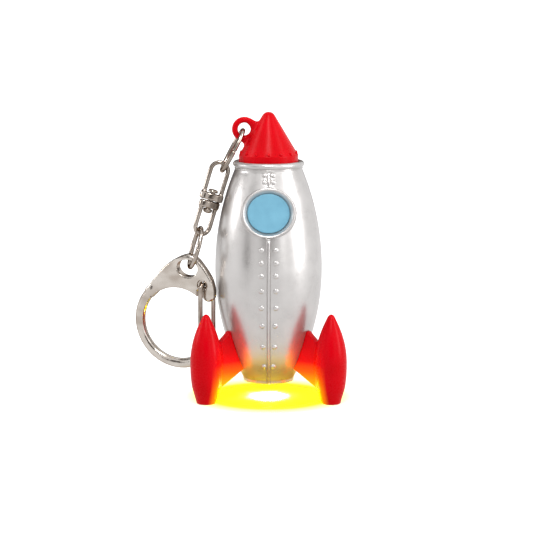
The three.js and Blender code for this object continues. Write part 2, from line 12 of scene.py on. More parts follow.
import bmesh
import bpy
import numpy as np
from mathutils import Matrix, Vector


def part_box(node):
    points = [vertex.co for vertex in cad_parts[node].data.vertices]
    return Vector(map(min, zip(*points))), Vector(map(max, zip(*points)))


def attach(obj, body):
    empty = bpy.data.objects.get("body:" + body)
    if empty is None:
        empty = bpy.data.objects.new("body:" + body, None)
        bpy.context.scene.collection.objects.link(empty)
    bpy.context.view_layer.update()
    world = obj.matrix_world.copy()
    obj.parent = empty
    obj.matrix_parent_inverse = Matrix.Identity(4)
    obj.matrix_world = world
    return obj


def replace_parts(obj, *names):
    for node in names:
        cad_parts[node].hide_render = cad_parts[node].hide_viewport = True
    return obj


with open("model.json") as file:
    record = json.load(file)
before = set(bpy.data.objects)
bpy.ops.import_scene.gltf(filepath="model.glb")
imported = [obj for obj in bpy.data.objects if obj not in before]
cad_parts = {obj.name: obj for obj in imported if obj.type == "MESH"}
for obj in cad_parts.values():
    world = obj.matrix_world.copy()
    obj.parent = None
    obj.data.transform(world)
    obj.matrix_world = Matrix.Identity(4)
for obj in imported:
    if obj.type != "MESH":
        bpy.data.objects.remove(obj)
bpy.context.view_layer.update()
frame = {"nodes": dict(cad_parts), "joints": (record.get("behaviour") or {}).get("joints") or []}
joints = {joint["name"]: joint for joint in frame["joints"]}

# %% [markdown]
# The two hull halves meet on a plane through the rocket's axis, so their boxes give that axis.
# The joints of the chain give the points where one link hangs in the next.

# %% Find the rocket's axis
front_low, front_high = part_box("hull_front")
rear_low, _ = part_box("hull_rear")
AXIS = np.array([(front_low.x + front_high.x) / 2, (front_high.y + rear_low.y) / 2, 0.0])
MM = 0.001


def joint_point(name):
    """Where a joint turns, in millimetres from the rocket's axis."""
    return (np.array(joints[name]["pos_m"]) - AXIS) / MM


def joint_axis(name):
    axis = np.array(joints[name]["axis"], float)
    return axis / np.linalg.norm(axis)


print("axis at", AXIS.round(5), "metres")

# %% [markdown]
# ## Small tools
# Blender's own primitives and modifiers could make many of these shapes, but a rule written in
# numbers keeps every size in view. So each piece starts as arrays of points and faces, and `piece`
# turns them into a finished mesh object: points that coincide are merged, so poles and seams close,
# and the faces are turned outwards.

# %% Make a mesh piece
MERGE_WITHIN = 1e-7


def piece(name, points, faces, finish):
    mesh = bpy.data.meshes.new(name)
    mesh.from_pydata((np.asarray(points) * MM + AXIS).tolist(), [], [list(f) for f in faces])
    work = bmesh.new()
    work.from_mesh(mesh)
    bmesh.ops.remove_doubles(work, verts=work.verts, dist=MERGE_WITHIN)
    bmesh.ops.recalc_face_normals(work, faces=work.faces)
    work.to_mesh(mesh)
    work.free()
    mesh.shade_smooth()
    mesh.materials.append(finish)
    made = bpy.data.objects.new(name, mesh)
    bpy.context.scene.collection.objects.link(made)
    print(f"{name}: {len(mesh.polygons)} faces")
    return made


def sharpen(thing, degrees):
    """Shades edges steeper than this as sharp ones."""
    thing.data.set_sharp_from_angle(angle=math.radians(degrees))
    return thing


def grid_faces(rows, columns, wrap_rows=False, wrap_columns=False):
    """Quads over a grid of points that is stored row by row."""
    faces = []
    for i in range(rows if wrap_rows else rows - 1):
        row, next_row = i * columns, (i + 1) % rows * columns
        for j in range(columns if wrap_columns else columns - 1):
            beside = (j + 1) % columns
            faces.append((row + j, row + beside, next_row + beside, next_row + j))
    return faces


# %% [markdown]
# Round things are an outline of (radius, height) points turned about an axis, as on a lathe. Wires
# are a ring of points carried along a line without twisting, with small domes on both ends. A curve
# with a bevel would give the wire too, but not its domed ends.

# %% Turn an outline, sweep a wire
def turned(outline, segments=128):
    outline = np.asarray(outline, float)
    angles = np.linspace(0, 2 * np.pi, segments, endpoint=False)
    radius, height = outline[:, :1], outline[:, 1:]
    points = np.stack([radius * np.cos(angles), radius * np.sin(angles), height + 0 * angles], axis=-1)
    return points.reshape(-1, 3), grid_faces(len(outline), segments, wrap_columns=True)


def arc(centre_r, centre_z, radius, start, end, steps):
    angles = np.radians(np.linspace(start, end, steps + 1))
    return [(centre_r + radius * math.cos(a), centre_z + radius * math.sin(a)) for a in angles]


def smooth_line(points, each=8, tension=0.5):
    """A curve through the points, with the same number of steps between each two."""
    p = np.asarray(points, float)
    p = np.vstack([2 * p[0] - p[1], p, 2 * p[-1] - p[-2]])
    out = []
    for before, a, b, after in zip(p, p[1:], p[2:], p[3:]):
        t = np.linspace(0, 1, each, endpoint=False)[:, None]
        m0, m1 = tension * (b - before), tension * (after - a)
        out.append((2 * t**3 - 3 * t**2 + 1) * a + (t**3 - 2 * t**2 + t) * m0
                   + (3 * t**2 - 2 * t**3) * b + (t**3 - t**2) * m1)
    return np.vstack([*out, p[-2:-1]])


def wire(line, radius, sides=20):
    line = np.asarray(line, float)
    along = np.gradient(line, axis=0)
    along /= np.linalg.norm(along, axis=1)[:, None]
    side = np.cross(along[0], [0.31, 0.57, 0.76])
    angles = np.linspace(0, 2 * np.pi, sides, endpoint=False)
    dome = [(math.cos(a), math.sin(a)) for a in np.radians([80, 60, 35, 12])]
    dome_height = 0.35 * radius
    rings = []
    for i, (point, forward) in enumerate(zip(line, along)):
        side = side - forward * side.dot(forward)
        side /= np.linalg.norm(side)
        up = np.cross(forward, side)
        circle = np.cos(angles)[:, None] * side + np.sin(angles)[:, None] * up
        caps = []
        if i == 0:
            caps = [(c, -dome_height * s) for c, s in dome]
        if i == len(line) - 1:
            caps = [(c, dome_height * s) for c, s in reversed(dome)]
        for share, shift in caps or [(1, 0)]:
            rings.append(point + forward * shift + circle * radius * share)
    first = line[0] - along[0] * dome_height
    last = line[-1] + along[-1] * dome_height
    points = np.vstack([first[None], *rings, last[None]])
    faces = [tuple(k + 1 for k in f) for f in grid_faces(len(rings), sides, wrap_columns=True)]
    end = len(points) - 1
    for j in range(sides):
        k = (j + 1) % sides
        faces.append((0, 1 + k, 1 + j))
        faces.append((end, end - sides + j, end - sides + k))
    return points, faces


# %% [markdown]
# Castings and mouldings have soft inner corners that a plain union of solids doesn't give. They
# could be joined with Boolean modifiers and bevelled, but a bevel fails where thin edges meet. Here
# such a shape is a distance field: a function that says how far any point is from the surface.
# Fields melt into each other with a fillet of any size.

# %% Distance fields
def outline_distance(outline, x, y):
    """Distance to a closed flat outline, negative inside it."""
    outline = np.asarray(outline, float)
    nearest = np.full(np.shape(x), np.inf)
    inside = np.zeros(np.shape(x), bool)
    for (ax, ay), (bx, by) in zip(outline, np.roll(outline, -1, axis=0)):
        ex, ey = bx - ax, by - ay
        share = np.clip(((x - ax) * ex + (y - ay) * ey) / (ex * ex + ey * ey + 1e-12), 0, 1)
        nearest = np.minimum(nearest, (x - ax - share * ex) ** 2 + (y - ay - share * ey) ** 2)
        if ay != by:
            inside ^= ((ay > y) != (by > y)) & (x < ex * (y - ay) / ey + ax)
    return np.where(inside, -1.0, 1.0) * np.sqrt(nearest)


def slab(flat, height, half, edge):
    """A flat shape given a thickness, with rounded edges."""
    a, b = flat + edge, np.abs(height) - half + edge
    return np.minimum(np.maximum(a, b), 0) + np.hypot(np.maximum(a, 0), np.maximum(b, 0)) - edge


def line_distance(line, x, y, z):
    line = np.asarray(line, float)
    nearest = np.full(np.shape(x), np.inf)
    for a, b in zip(line[:-1], line[1:]):
        e = b - a
        share = np.clip(((x - a[0]) * e[0] + (y - a[1]) * e[1] + (z - a[2]) * e[2]) / e.dot(e), 0, 1)
        dx, dy, dz = x - a[0] - share * e[0], y - a[1] - share * e[1], z - a[2] - share * e[2]
        nearest = np.minimum(nearest, dx**2 + dy**2 + dz**2)
    return np.sqrt(nearest)


def melt(a, b, fillet):
    share = np.clip(0.5 + 0.5 * (b - a) / fillet, 0, 1)
    return b * (1 - share) + a * share - fillet * share * (1 - share)


def cut(a, b, fillet):
    """What is left of a when b is taken away."""
    return -melt(-a, b, fillet)


# %% [markdown]
# One tool draws the mesh of any field: a vertex in each small cube that the surface crosses, pulled
# onto the surface along the field's slope, and a quad round each crossed edge. A voxel Remesh could
# do this from a rough solid, but it would round the edges that the field keeps.

# %% Draw the surface of a field
def surface(field, low, high, step):
    axes = [np.arange(lo - 2 * step, hi + 2 * step, step) for lo, hi in zip(low, high)]
    inside = field(*np.meshgrid(*axes, indexing="ij")) < 0
    sizes = [n - 1 for n in inside.shape]
    count = np.zeros(sizes, int)
    for i in (0, 1):
        for j in (0, 1):
            for k in (0, 1):
                count += inside[i:i + sizes[0], j:j + sizes[1], k:k + sizes[2]]
    crossed = (count > 0) & (count < 8)
    number = np.full(sizes, -1)
    number[crossed] = np.arange(crossed.sum())
    cells = np.argwhere(crossed)
    points = np.stack([axes[a][cells[:, a]] + step / 2 for a in range(3)], axis=1)
    start = points.copy()
    tiny, furthest = step * 0.05, step * 0.75
    for _ in range(4):
        value = field(*points.T)
        slope = np.stack([(field(*(points + d).T) - field(*(points - d).T)) / (2 * tiny)
                          for d in np.eye(3) * tiny], axis=1)
        points = points - value[:, None] * slope / np.maximum((slope**2).sum(1), 0.2)[:, None]
        points = np.clip(points, start - furthest, start + furthest)
    faces = []
    for a in range(3):
        b, c = (a + 1) % 3, (a + 2) % 3
        moved = np.moveaxis(inside, (a, b, c), (0, 1, 2))
        cubes = np.moveaxis(number, (a, b, c), (0, 1, 2))
        i, j, k = np.nonzero(moved[:-1, 1:-1, 1:-1] != moved[1:, 1:-1, 1:-1])
        round_edge = [cubes[i, j, k], cubes[i, j + 1, k], cubes[i, j + 1, k + 1], cubes[i, j, k + 1]]
        quad = np.stack(round_edge, axis=1)
        leaving = moved[:-1, 1:-1, 1:-1][i, j, k]
        quad[~leaving] = quad[~leaving][:, ::-1]
        faces.append(quad)
    return points, np.vstack(faces).tolist()


# %% [markdown]
# ## Finishes
# A material here is a Principled shader with a few noises wired into it. `Tree` is a short way to
# write such a node tree. Everything reads Object coordinates, so no pattern slides when a part
# moves, and a value that is the same everywhere is set on the shader's own socket.

# %% A short way to write a node tree
class Tree:
    def __init__(self, name):
        self.material = bpy.data.materials.new(name)
        self.material.use_nodes = True
        self.nodes = self.material.node_tree.nodes
        self.links = self.material.node_tree.links
        self.shader = self.nodes["Principled BSDF"]
        self.place = self.nodes.new("ShaderNodeTexCoord").outputs["Object"]

    def put(self, kind, values=None, **settings):
        node = self.nodes.new(kind)
        for key, value in settings.items():
            setattr(node, key, value)
        for socket, value in (values or {}).items():
            if isinstance(value, bpy.types.NodeSocket):
                self.links.new(value, node.inputs[socket])
            else:
                node.inputs[socket].default_value = value
        return node

    def height_and_reach(self):
        """The height above the floor and the distance from the rocket's axis, in metres."""
        away = self.put("ShaderNodeMapping", {"Vector": self.place, "Location": tuple(-AXIS)}).outputs[0]
        parts = self.put("ShaderNodeSeparateXYZ", {"Vector": away}).outputs
        across = self.math("MULTIPLY", parts["X"], parts["X"])
        along = self.math("MULTIPLY", parts["Y"], parts["Y"])
        return parts["Z"], self.math("SQRT", self.math("ADD", across, along), 0.0)

    def noise(self, per_mm, detail=3.0, stretch=(1, 1, 1), rough=0.55):
        """A soft random pattern with about this many grains to a millimetre."""
        at = self.put("ShaderNodeMapping", {"Vector": self.place, "Scale": stretch}).outputs[0]
        values = {"Vector": at, "Scale": per_mm / MM, "Detail": detail, "Roughness": rough}
        return self.put("ShaderNodeTexNoise", values).outputs["Fac"]

    def ramp(self, value, stops):
        node = self.put("ShaderNodeValToRGB", {"Fac": value})
        while len(node.color_ramp.elements) < len(stops):
            node.color_ramp.elements.new(0.5)
        for element, (position, color) in zip(node.color_ramp.elements, stops):
            element.position = position
            element.color = (*color, 1) if len(color) == 3 else color
        return node.outputs["Color"]

    def spread(self, value, low, high, start=0.3, end=0.7):
        """Turns a pattern into a value between low and high."""
        values = {"Value": value, "From Min": start, "From Max": end, "To Min": low, "To Max": high}
        return self.put("ShaderNodeMapRange", values).outputs["Result"]

    def math(self, operation, a, b):
        return self.put("ShaderNodeMath", {0: a, 1: b}, operation=operation).outputs[0]

    def bump(self, height, strength, distance_mm, normal=None):
        values = {"Height": height, "Strength": strength, "Distance": distance_mm * MM}
        if normal is not None:
            values["Normal"] = normal
        return self.put("ShaderNodeBump", values).outputs["Normal"]

    def finish(self, linked=None, **fixed):
        for socket, value in fixed.items():
            self.shader.inputs[socket.replace("_", " ")].default_value = value
        for socket, output in (linked or {}).items():
            self.links.new(output, self.shader.inputs[socket])
        print("finish:", self.material.name)
        return self.material


# %% [markdown]
# The hull is sprayed with silver paint: tiny metal flakes under a thin satin film. Polished metal
# would mirror the room, and grey plastic would look dull, so this is a rough metal with a weak coat.
# Fine noise in the roughness and the normal gives the flakes, and a slow noise gives the film its
# unevenness.

# %% Silver paint
def silver_paint():
    t = Tree("silver_paint")
    flakes = t.noise(9.0, detail=2)
    film = t.noise(0.22, detail=3)
    color = t.ramp(film, [(0.3, (0.57, 0.55, 0.54)), (0.7, (0.63, 0.61, 0.60))])
    rough = t.math("ADD", t.spread(film, 0.27, 0.33), t.spread(flakes, -0.03, 0.05))
    waves = t.bump(film, 0.12, 0.5)
    grain = t.bump(flakes, 0.10, 0.02, waves)
    return t.finish({"Base Color": color, "Roughness": rough, "Normal": grain},
                    Metallic=0.86, Coat_Weight=0.12, Coat_Roughness=0.28)


SILVER = silver_paint()


# %% [markdown]
# The nose and the fins are dyed plastic, moulded rather than painted. Light enters it a little, so
# a small amount of subsurface light keeps the red alive on the shaded side. Near the tail the lamp
# shines into the fins and they glow orange inside. Real scattering from the lamp would be slow and
# grainy, so a little emission stands for it: strongest low down and close to the rocket's axis. The
# window's blue is a plain matt paint beside it.

# %% Red and blue
def red_plastic():
    t = Tree("red_plastic")
    cloud = t.noise(0.15, detail=2)
    grain = t.noise(2.6, detail=4)
    color = t.ramp(cloud, [(0.3, (0.47, 0.0, 0.003)), (0.7, (0.53, 0.0, 0.005))])
    rough = t.spread(grain, 0.24, 0.32)
    skin = t.bump(grain, 0.12, 0.02, t.bump(cloud, 0.10, 0.4))
    height, reach = t.height_and_reach()
    low = t.spread(height, 1.0, 0.0, 0.004, 0.016)
    near = t.spread(reach, 1.0, 0.0, 0.0172, 0.0210)
    glow = t.ramp(low, [(0.0, (0, 0, 0)), (0.4, (0.09, 0.003, 0.0)), (0.65, (0.50, 0.14, 0.0)),
                        (1.0, (0.9, 0.60, 0.0))])
    linked = {"Base Color": color, "Roughness": rough, "Normal": skin, "Emission Color": glow,
              "Emission Strength": near}
    return t.finish(linked, Subsurface_Weight=0.10, Subsurface_Radius=(1.0, 0.1, 0.05),
                    Subsurface_Scale=0.0012, Specular_IOR_Level=0.12, Specular_Tint=(1.0, 0.6, 0.6, 1.0))


def blue_paint():
    t = Tree("blue_paint")
    cloud = t.noise(0.35, detail=3)
    grain = t.noise(5.0, detail=2)
    color = t.ramp(cloud, [(0.3, (0.125, 0.320, 0.440)), (0.7, (0.150, 0.365, 0.490))])
    rough = t.spread(grain, 0.50, 0.62)
    return t.finish({"Base Color": color, "Roughness": rough, "Normal": t.bump(grain, 0.10, 0.01)},
                    Specular_IOR_Level=0.35)


RED = red_plastic()
BLUE = blue_paint()


# %% [markdown]
# The chain is nickel plate over cast zinc and steel wire. A plain grey mirror would look like glass,
# because plate is smooth but never perfect: it has a slow waviness left by polishing, hairline
# scratches, and warmer, darker patches where it is thin. The specular tint darkens what the metal
# mirrors at a grazing angle, so that its edges stay dark against a white room.

# %% Nickel plate
def nickel_plate(name, roughness, waviness, dull, bright):
    t = Tree(name)
    waves = t.noise(0.5, detail=2)
    hairs = t.noise(2.0, detail=4, stretch=(1.0, 0.12, 0.5), rough=0.7)
    cloud = t.noise(0.12, detail=2, stretch=(1.0, 1.0, 1.6))
    color = t.ramp(cloud, [(0.36, dull), (0.6, bright)])
    rough = t.math("ADD", t.spread(hairs, roughness, roughness + 0.09), t.spread(waves, 0.0, 0.04))
    normal = t.bump(hairs, 0.05, 0.02, t.bump(waves, waviness, 0.3))
    return t.finish({"Base Color": color, "Roughness": rough, "Normal": normal}, Metallic=1.0,
                    Specular_Tint=(0.30, 0.20, 0.13, 1.0))


# The wire's plate is painted darker and browner than the casting's: painted shade that stands for the dark
# surroundings the thin wires mirror.
DARKENED_WIRE_NICKEL = nickel_plate("nickel_wire_painted_dark", 0.08, 0.10, (0.32, 0.265, 0.22), (0.52, 0.46, 0.41))
CAST_NICKEL = nickel_plate("nickel_casting", 0.11, 0.30, (0.50, 0.435, 0.38), (0.70, 0.645, 0.59))

# %% [markdown]
# ## The hull
# The hull's side is two long arcs that meet at its widest level. Above it come a thin bead, a
# groove and the big rolled bead of the collar, then the bore in which the nose slides. Each half is
# this closed outline carried round half a turn, so it is a real shell with a wall. A Screw modifier
# would turn the outline too, but it gives each column one angle for every height, and the rib in the
# next cells needs columns that keep the same distance from the middle.

# %% The hull's outline
MAX_RADIUS, EQUATOR, UPPER_ARC, LOWER_ARC, WALL = 14.9, 36.5, 72.0, 65.0, 1.2
TAIL_Z, NECK_Z, LIP_POINTS, SIDE_POINTS = 5.6, 64.0, 7, 190


def hull_radius(z):
    big = np.where(np.asarray(z) > EQUATOR, UPPER_ARC, LOWER_ARC)
    return MAX_RADIUS - big + np.sqrt(big**2 - (np.asarray(z) - EQUATOR) ** 2)


def hull_outline():
    side = [(float(hull_radius(z)), z) for z in np.linspace(TAIL_Z, NECK_Z, SIDE_POINTS)]
    lip = [(6.4, 5.1), (6.44, 4.86), (6.56, 4.74), (6.75, 4.7), (6.95, 4.74), (7.07, 4.9), (7.13, 5.15)]
    neck = [(9.44, 64.1), (9.37, 64.22), (9.37, 64.3), *arc(9.26, 64.5, 0.2, -60, 60, 7), (9.3, 64.74),
            (9.3, 64.82)]
    collar = [*arc(9.06, 65.66, 0.84, -70, 90, 16), (8.8, 66.5), (8.62, 66.46), (8.55, 66.36)]
    wall = [(float(hull_radius(z)) - WALL, z) for z in np.linspace(61.9, 7.6, 34)]
    return np.array(lip + side + neck + collar + [(8.55, 64.5), (8.55, 62.3)] + wall + [(6.4, 6.2)])


print("hull outline:", len(hull_outline()), "points")

# %% [markdown]
# The porthole looks up a little, square to the hull's side where it sits. Its own flat
# coordinates are a (to the right), b (up the hull) and c (outwards). `hull_depth` finds how far
# below the porthole's plane the hull's side lies, and the boss grows from there with a fillet. With
# coordinates of its own the porthole can be drawn flat, as a designer would draw it.

# %% The porthole's own coordinates
PORTHOLE_Z, SQUASH, DISC, BOSS, FLARE = 53.45, 0.935, 5.76, 7.4, 7.95
slope = math.asin((PORTHOLE_Z - EQUATOR) / UPPER_ARC)
PORTHOLE_AT = np.array([0.0, -float(hull_radius(PORTHOLE_Z)), PORTHOLE_Z])
ACROSS = np.array([1.0, 0.0, 0.0])
UP_HULL = np.array([0.0, math.sin(slope), math.cos(slope)])
OUTWARD = np.array([0.0, -math.cos(slope), math.sin(slope)])


def from_porthole(a, b, c):
    flat = [np.asarray(v, float)[..., None] for v in (a, b, c)]
    return PORTHOLE_AT + flat[0] * ACROSS + flat[1] * UP_HULL + flat[2] * OUTWARD


def porthole_reach(points):
    """How far a point is from the porthole's middle, in the porthole's oval measure."""
    local = np.asarray(points) - PORTHOLE_AT
    return np.hypot(local @ ACROSS, local @ UP_HULL / SQUASH)


def hull_depth(a, b):
    c = np.zeros(np.shape(a))
    for _ in range(12):
        p = from_porthole(a, b, c)
        c = c - 0.9 * (np.hypot(p[..., 0], p[..., 1]) - hull_radius(p[..., 2]))
    return c


print("the porthole looks up by", round(math.degrees(slope), 1), "degrees")

# %% [markdown]
# The rib is a raised seam with a fine line pressed on both sides. A bump map could draw it, but its
# height would be missing from the mesh. So the columns near the middle stay at a fixed distance
# from the rib, with its height in them, and its edges come out straight. It fades out under the boss.

# %% One half of the hull
RIB = {0: 0.27, 0.1: 0.265, 0.2: 0.24, 0.27: 0.20, 0.325: 0.04, 0.37: -0.10, 0.42: -0.16, 0.48: -0.08,
       0.56: 0.0, 0.75: 0.0, 1.0: 0.0, 1.4: 0.0, 1.9: 0.0, 2.4: 0.0, 3.0: 0.0}
COLUMNS, SEAM_GAP, SEAM_DIP, SKIN_DEPTH = 74, 0.03, 0.09, 0.5


def hull_half(side):
    """Side is -1 for the front and 1 for the rear."""
    outline = hull_outline()
    radius, height = outline[:, 0], outline[:, 1]
    near = np.array(list(RIB))
    last = near[-1]
    share = np.linspace(0, 1, COLUMNS)[1:]
    start = np.arcsin(last / radius)[:, None]
    end = np.pi / 2 - SEAM_GAP / radius[:, None]
    angles = np.hstack([np.arcsin(near / radius[:, None]), start + (end - start) * share])
    angles = np.hstack([-angles[:, :0:-1], angles])
    lift = np.concatenate([list(RIB.values()), np.zeros(len(share))])
    lift = np.concatenate([lift[:0:-1], lift]) * np.ones((len(outline), 1))
    edge = np.zeros(lift.shape[1])
    edge[[0, -1]] = -SEAM_DIP
    skin = np.arange(len(outline)) < LIP_POINTS + SIDE_POINTS
    points = np.stack([radius[:, None] * np.sin(angles), side * radius[:, None] * np.cos(angles),
                       height[:, None] + 0 * angles], axis=-1)
    clear_of_boss = np.clip((porthole_reach(points) - 8.0) / 0.8, 0, 1)
    below_neck = np.clip((63.6 - height[:, None]) / 0.5, 0, 1)
    above_tail = np.clip((height[:, None] - 4.7) / 0.4, 0, 1)
    lift = lift * clear_of_boss * below_neck * above_tail * skin[:, None] * (side < 0)
    grown = 1 + (lift + edge * skin[:, None]) / radius[:, None]
    points[..., :2] *= grown[..., None]
    rows, columns = angles.shape
    faces = grid_faces(rows, columns, wrap_rows=True)
    loop = [i * columns for i in range(rows)]
    return points.reshape(-1, 3), faces + [loop, [k + columns - 1 for k in loop]]


def without(faces, hidden):
    """Leaves out the faces whose corners all lie where something else stands."""
    return [f for f in faces if not all(hidden[k] for k in f)]


def on_skin(points):
    """Which points lie on the hull's outside rather than on its inner wall."""
    return np.hypot(points[:, 0], points[:, 1]) > hull_radius(points[:, 2]) - SKIN_DEPTH


# %% [markdown]
# The boss round the window could be a torus pushed through the hull, but that leaves a hard crease.
# It is a polar grid instead: circles round the porthole, each with its own height. Outside its
# rounded ridge the grid comes down onto the hull in a fillet, and ends just under the hull's surface.
# The hull's own faces under it are left out.

# %% The porthole's boss
def porthole_boss():
    profile = [(5.4, -1.2), (5.8, -1.15), (5.86, -1.1), (5.95, -0.98), (6.25, -0.62), (6.56, -0.27),
               (6.68, -0.13), (6.80, -0.03), (6.94, 0.02), (7.08, 0.03), (7.2, 0.0), (7.29, -0.08),
               (7.35, -0.22), (BOSS, -0.42)]
    turn = np.linspace(0, 2 * np.pi, 200, endpoint=False)
    rings = [from_porthole(reach * np.cos(turn), SQUASH * reach * np.sin(turn), depth + 0 * turn)
             for reach, depth in profile]
    foot = hull_depth(BOSS * np.cos(turn), SQUASH * BOSS * np.sin(turn))
    for share in np.linspace(0, 1, 16)[1:]:
        reach = BOSS + (FLARE - BOSS) * share
        a, b = reach * np.cos(turn), SQUASH * reach * np.sin(turn)
        rise = (profile[-1][1] - foot) * (1 - share) ** 5 - 0.03 * share
        rings.append(from_porthole(a, b, hull_depth(a, b) + rise))
    return np.vstack(rings), grid_faces(len(rings), len(turn), wrap_columns=True)


def joined(*parts):
    points, faces, count = [], [], 0
    for some_points, some_faces in parts:
        points.append(np.asarray(some_points))
        faces += [[k + count for k in f] for f in some_faces]
        count += len(some_points)
    return np.vstack(points), faces


def flipped(part):
    return part[0], [list(f)[::-1] for f in part[1]]


OVERLAP = 0.25
points, faces = hull_half(-1)
under_boss = (porthole_reach(points) < FLARE - OVERLAP) & (points[:, 1] < 0)
faces = without(faces, under_boss & on_skin(points))
hull_front = piece("hull_front_skin", *joined((points, faces), flipped(porthole_boss())), SILVER)
sharpen(hull_front, 50)
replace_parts(hull_front, "hull_front")
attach(hull_front, "rocket")

# %% [markdown]
# Two screws come in from the back through deep round wells. A Boolean cut would leave long thin
# triangles round each hole, so a well is the same kind of polar grid as the boss, drawn straight
# from behind, and the hull's faces over it are left out.

# %% The rear half and its screw wells
SCREW_X, SCREW_Z, WELL, WELL_CLEAR = 9.8, 38.0, 2.1, 2.45


def screw_well(x):
    turn = np.linspace(0, 2 * np.pi, 64, endpoint=False)
    rings = []
    for reach, drop in [(2.8, 0.03), (2.6, 0.0), (2.4, 0.01), (2.25, 0.05), (2.15, 0.14), (WELL, 0.3)]:
        px, pz = x + reach * np.cos(turn), SCREW_Z + reach * np.sin(turn)
        rings.append(np.stack([px, np.sqrt(hull_radius(pz) ** 2 - px**2) - drop, pz], axis=-1))
    for reach, y in [(WELL, 6.7), (WELL - 0.1, 6.4), (1.0, 6.4), (0.95, 3.0)]:
        px, pz = x + reach * np.cos(turn), SCREW_Z + reach * np.sin(turn)
        rings.append(np.stack([px, y + 0 * turn, pz], axis=-1))
    return np.vstack(rings), grid_faces(len(rings), len(turn), wrap_columns=True)


points, faces = hull_half(1)
near_well = np.hypot(np.abs(points[:, 0]) - SCREW_X, points[:, 2] - SCREW_Z) < WELL_CLEAR
faces = without(faces, near_well & on_skin(points))
wells = [screw_well(x) for x in (-SCREW_X, SCREW_X)]
hull_rear = piece("hull_rear_skin", *joined((points, faces), *wells), SILVER)
sharpen(hull_rear, 50)
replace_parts(hull_rear, "hull_rear")
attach(hull_rear, "rocket")

# %% [markdown]
# ## Rivets by Geometry Nodes
# The rivets are moulded pips that look like rivet heads. Each could be its own sphere, but they are
# all the same dome, so one small node tree puts a dome on every point of a guide mesh and turns it
# to the direction that the point carries in its `outward` attribute.

# %% The rivet tree
def rivet_tree():
    tree = bpy.data.node_groups.new("rivets_on_points", "GeometryNodeTree")
    face = tree.interface
    face.new_socket("Guide", in_out="INPUT", socket_type="NodeSocketGeometry")
    for name in ("Radius", "Flatness"):
        face.new_socket(name, in_out="INPUT", socket_type="NodeSocketFloat")
    face.new_socket("Finish", in_out="INPUT", socket_type="NodeSocketMaterial")
    face.new_socket("Rivets", in_out="OUTPUT", socket_type="NodeSocketGeometry")
    new, link = tree.nodes.new, tree.links.new
    given, result = new("NodeGroupInput"), new("NodeGroupOutput")
    dome = new("GeometryNodeMeshUVSphere")
    dome.inputs["Segments"].default_value = 20
    dome.inputs["Rings"].default_value = 12
    link(given.outputs["Radius"], dome.inputs["Radius"])
    flat = new("ShaderNodeCombineXYZ")
    flat.inputs["X"].default_value = 1
    flat.inputs["Y"].default_value = 1
    link(given.outputs["Flatness"], flat.inputs["Z"])
    squash = new("GeometryNodeTransform")
    link(dome.outputs["Mesh"], squash.inputs["Geometry"])
    link(flat.outputs[0], squash.inputs["Scale"])
    outward = new("GeometryNodeInputNamedAttribute")
    outward.data_type = "FLOAT_VECTOR"
    outward.inputs["Name"].default_value = "outward"
    turn = new("FunctionNodeAlignRotationToVector")
    turn.axis = "Z"
    link(outward.outputs["Attribute"], turn.inputs["Vector"])
    copies = new("GeometryNodeInstanceOnPoints")
    link(given.outputs["Guide"], copies.inputs["Points"])
    link(squash.outputs[0], copies.inputs["Instance"])
    link(turn.outputs["Rotation"], copies.inputs["Rotation"])
    real = new("GeometryNodeRealizeInstances")
    link(copies.outputs[0], real.inputs[0])
    smooth = new("GeometryNodeSetShadeSmooth")
    link(real.outputs[0], smooth.inputs[0])
    painted = new("GeometryNodeSetMaterial")
    link(smooth.outputs[0], painted.inputs["Geometry"])
    link(given.outputs["Finish"], painted.inputs["Material"])
    link(painted.outputs[0], result.inputs["Rivets"])
    return tree


RIVETS = rivet_tree()
print("rivet tree:", len(RIVETS.nodes), "nodes")

# %% [markdown]
# The tree is used on a guide mesh that holds nothing but points. The modifier's inputs are set
# before Blender first works it out, and the result is kept as a plain mesh, so nothing is left to
# work out later.

# %% Use the tree on a set of points
def rivets(name, places, outward, radius_mm, flatness, finish):
    guide = bpy.data.meshes.new(name + "_guide")
    guide.from_pydata((np.asarray(places) * MM + AXIS).tolist(), [], [])
    guide.attributes.new("outward", "FLOAT_VECTOR", "POINT").data.foreach_set("vector", np.ravel(outward))
    holder = bpy.data.objects.new(name + "_guide", guide)
    bpy.context.scene.collection.objects.link(holder)
    modifier = holder.modifiers.new("rivets", "NODES")
    modifier.node_group = RIVETS
    values = {"Radius": radius_mm * MM, "Flatness": flatness, "Finish": finish}
    for item in RIVETS.interface.items_tree:
        if item.in_out == "INPUT" and item.name in values:
            modifier[item.identifier] = values[item.name]
    seen = holder.evaluated_get(bpy.context.evaluated_depsgraph_get())
    mesh = bpy.data.meshes.new_from_object(seen)
    bpy.data.objects.remove(holder)
    made = bpy.data.objects.new(name, mesh)
    bpy.context.scene.collection.objects.link(made)
    print(f"{name}: {len(places)} rivets, {len(mesh.polygons)} faces")
    return made


# %% [markdown]
# Ten pairs run down the front beside the rib: two above the porthole and eight below it, closer to
# the rib towards both ends. Their gaps aren't even on the real mould, so each pair has its own
# height and its own distance from the rib.

# %% Rivets on the hull
RIVET_RADIUS, RIVET_FLATNESS = 0.74, 0.54
PAIRS = [(63.4, 1.15), (61.6, 1.2), (43.4, 2.0), (39.9, 2.0), (36.35, 2.0), (32.15, 2.0), (27.4, 2.0),
         (22.3, 1.75), (16.1, 1.6), (10.2, 1.25)]
places, outward = [], []
for z, reach in PAIRS:
    lean = math.asin(min((z - EQUATOR) / (UPPER_ARC if z > EQUATOR else LOWER_ARC), 1))
    for x in (-reach, reach):
        y = -math.sqrt(float(hull_radius(z)) ** 2 - x * x)
        places.append((x, y, z))
        out = np.array([x, y, 0]) / math.hypot(x, y)
        outward.append(out * math.cos(lean) + np.array([0, 0, math.sin(lean)]))
hull_rivets = rivets("hull_rivets", places, outward, RIVET_RADIUS, RIVET_FLATNESS, SILVER)
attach(hull_rivets, "rocket")

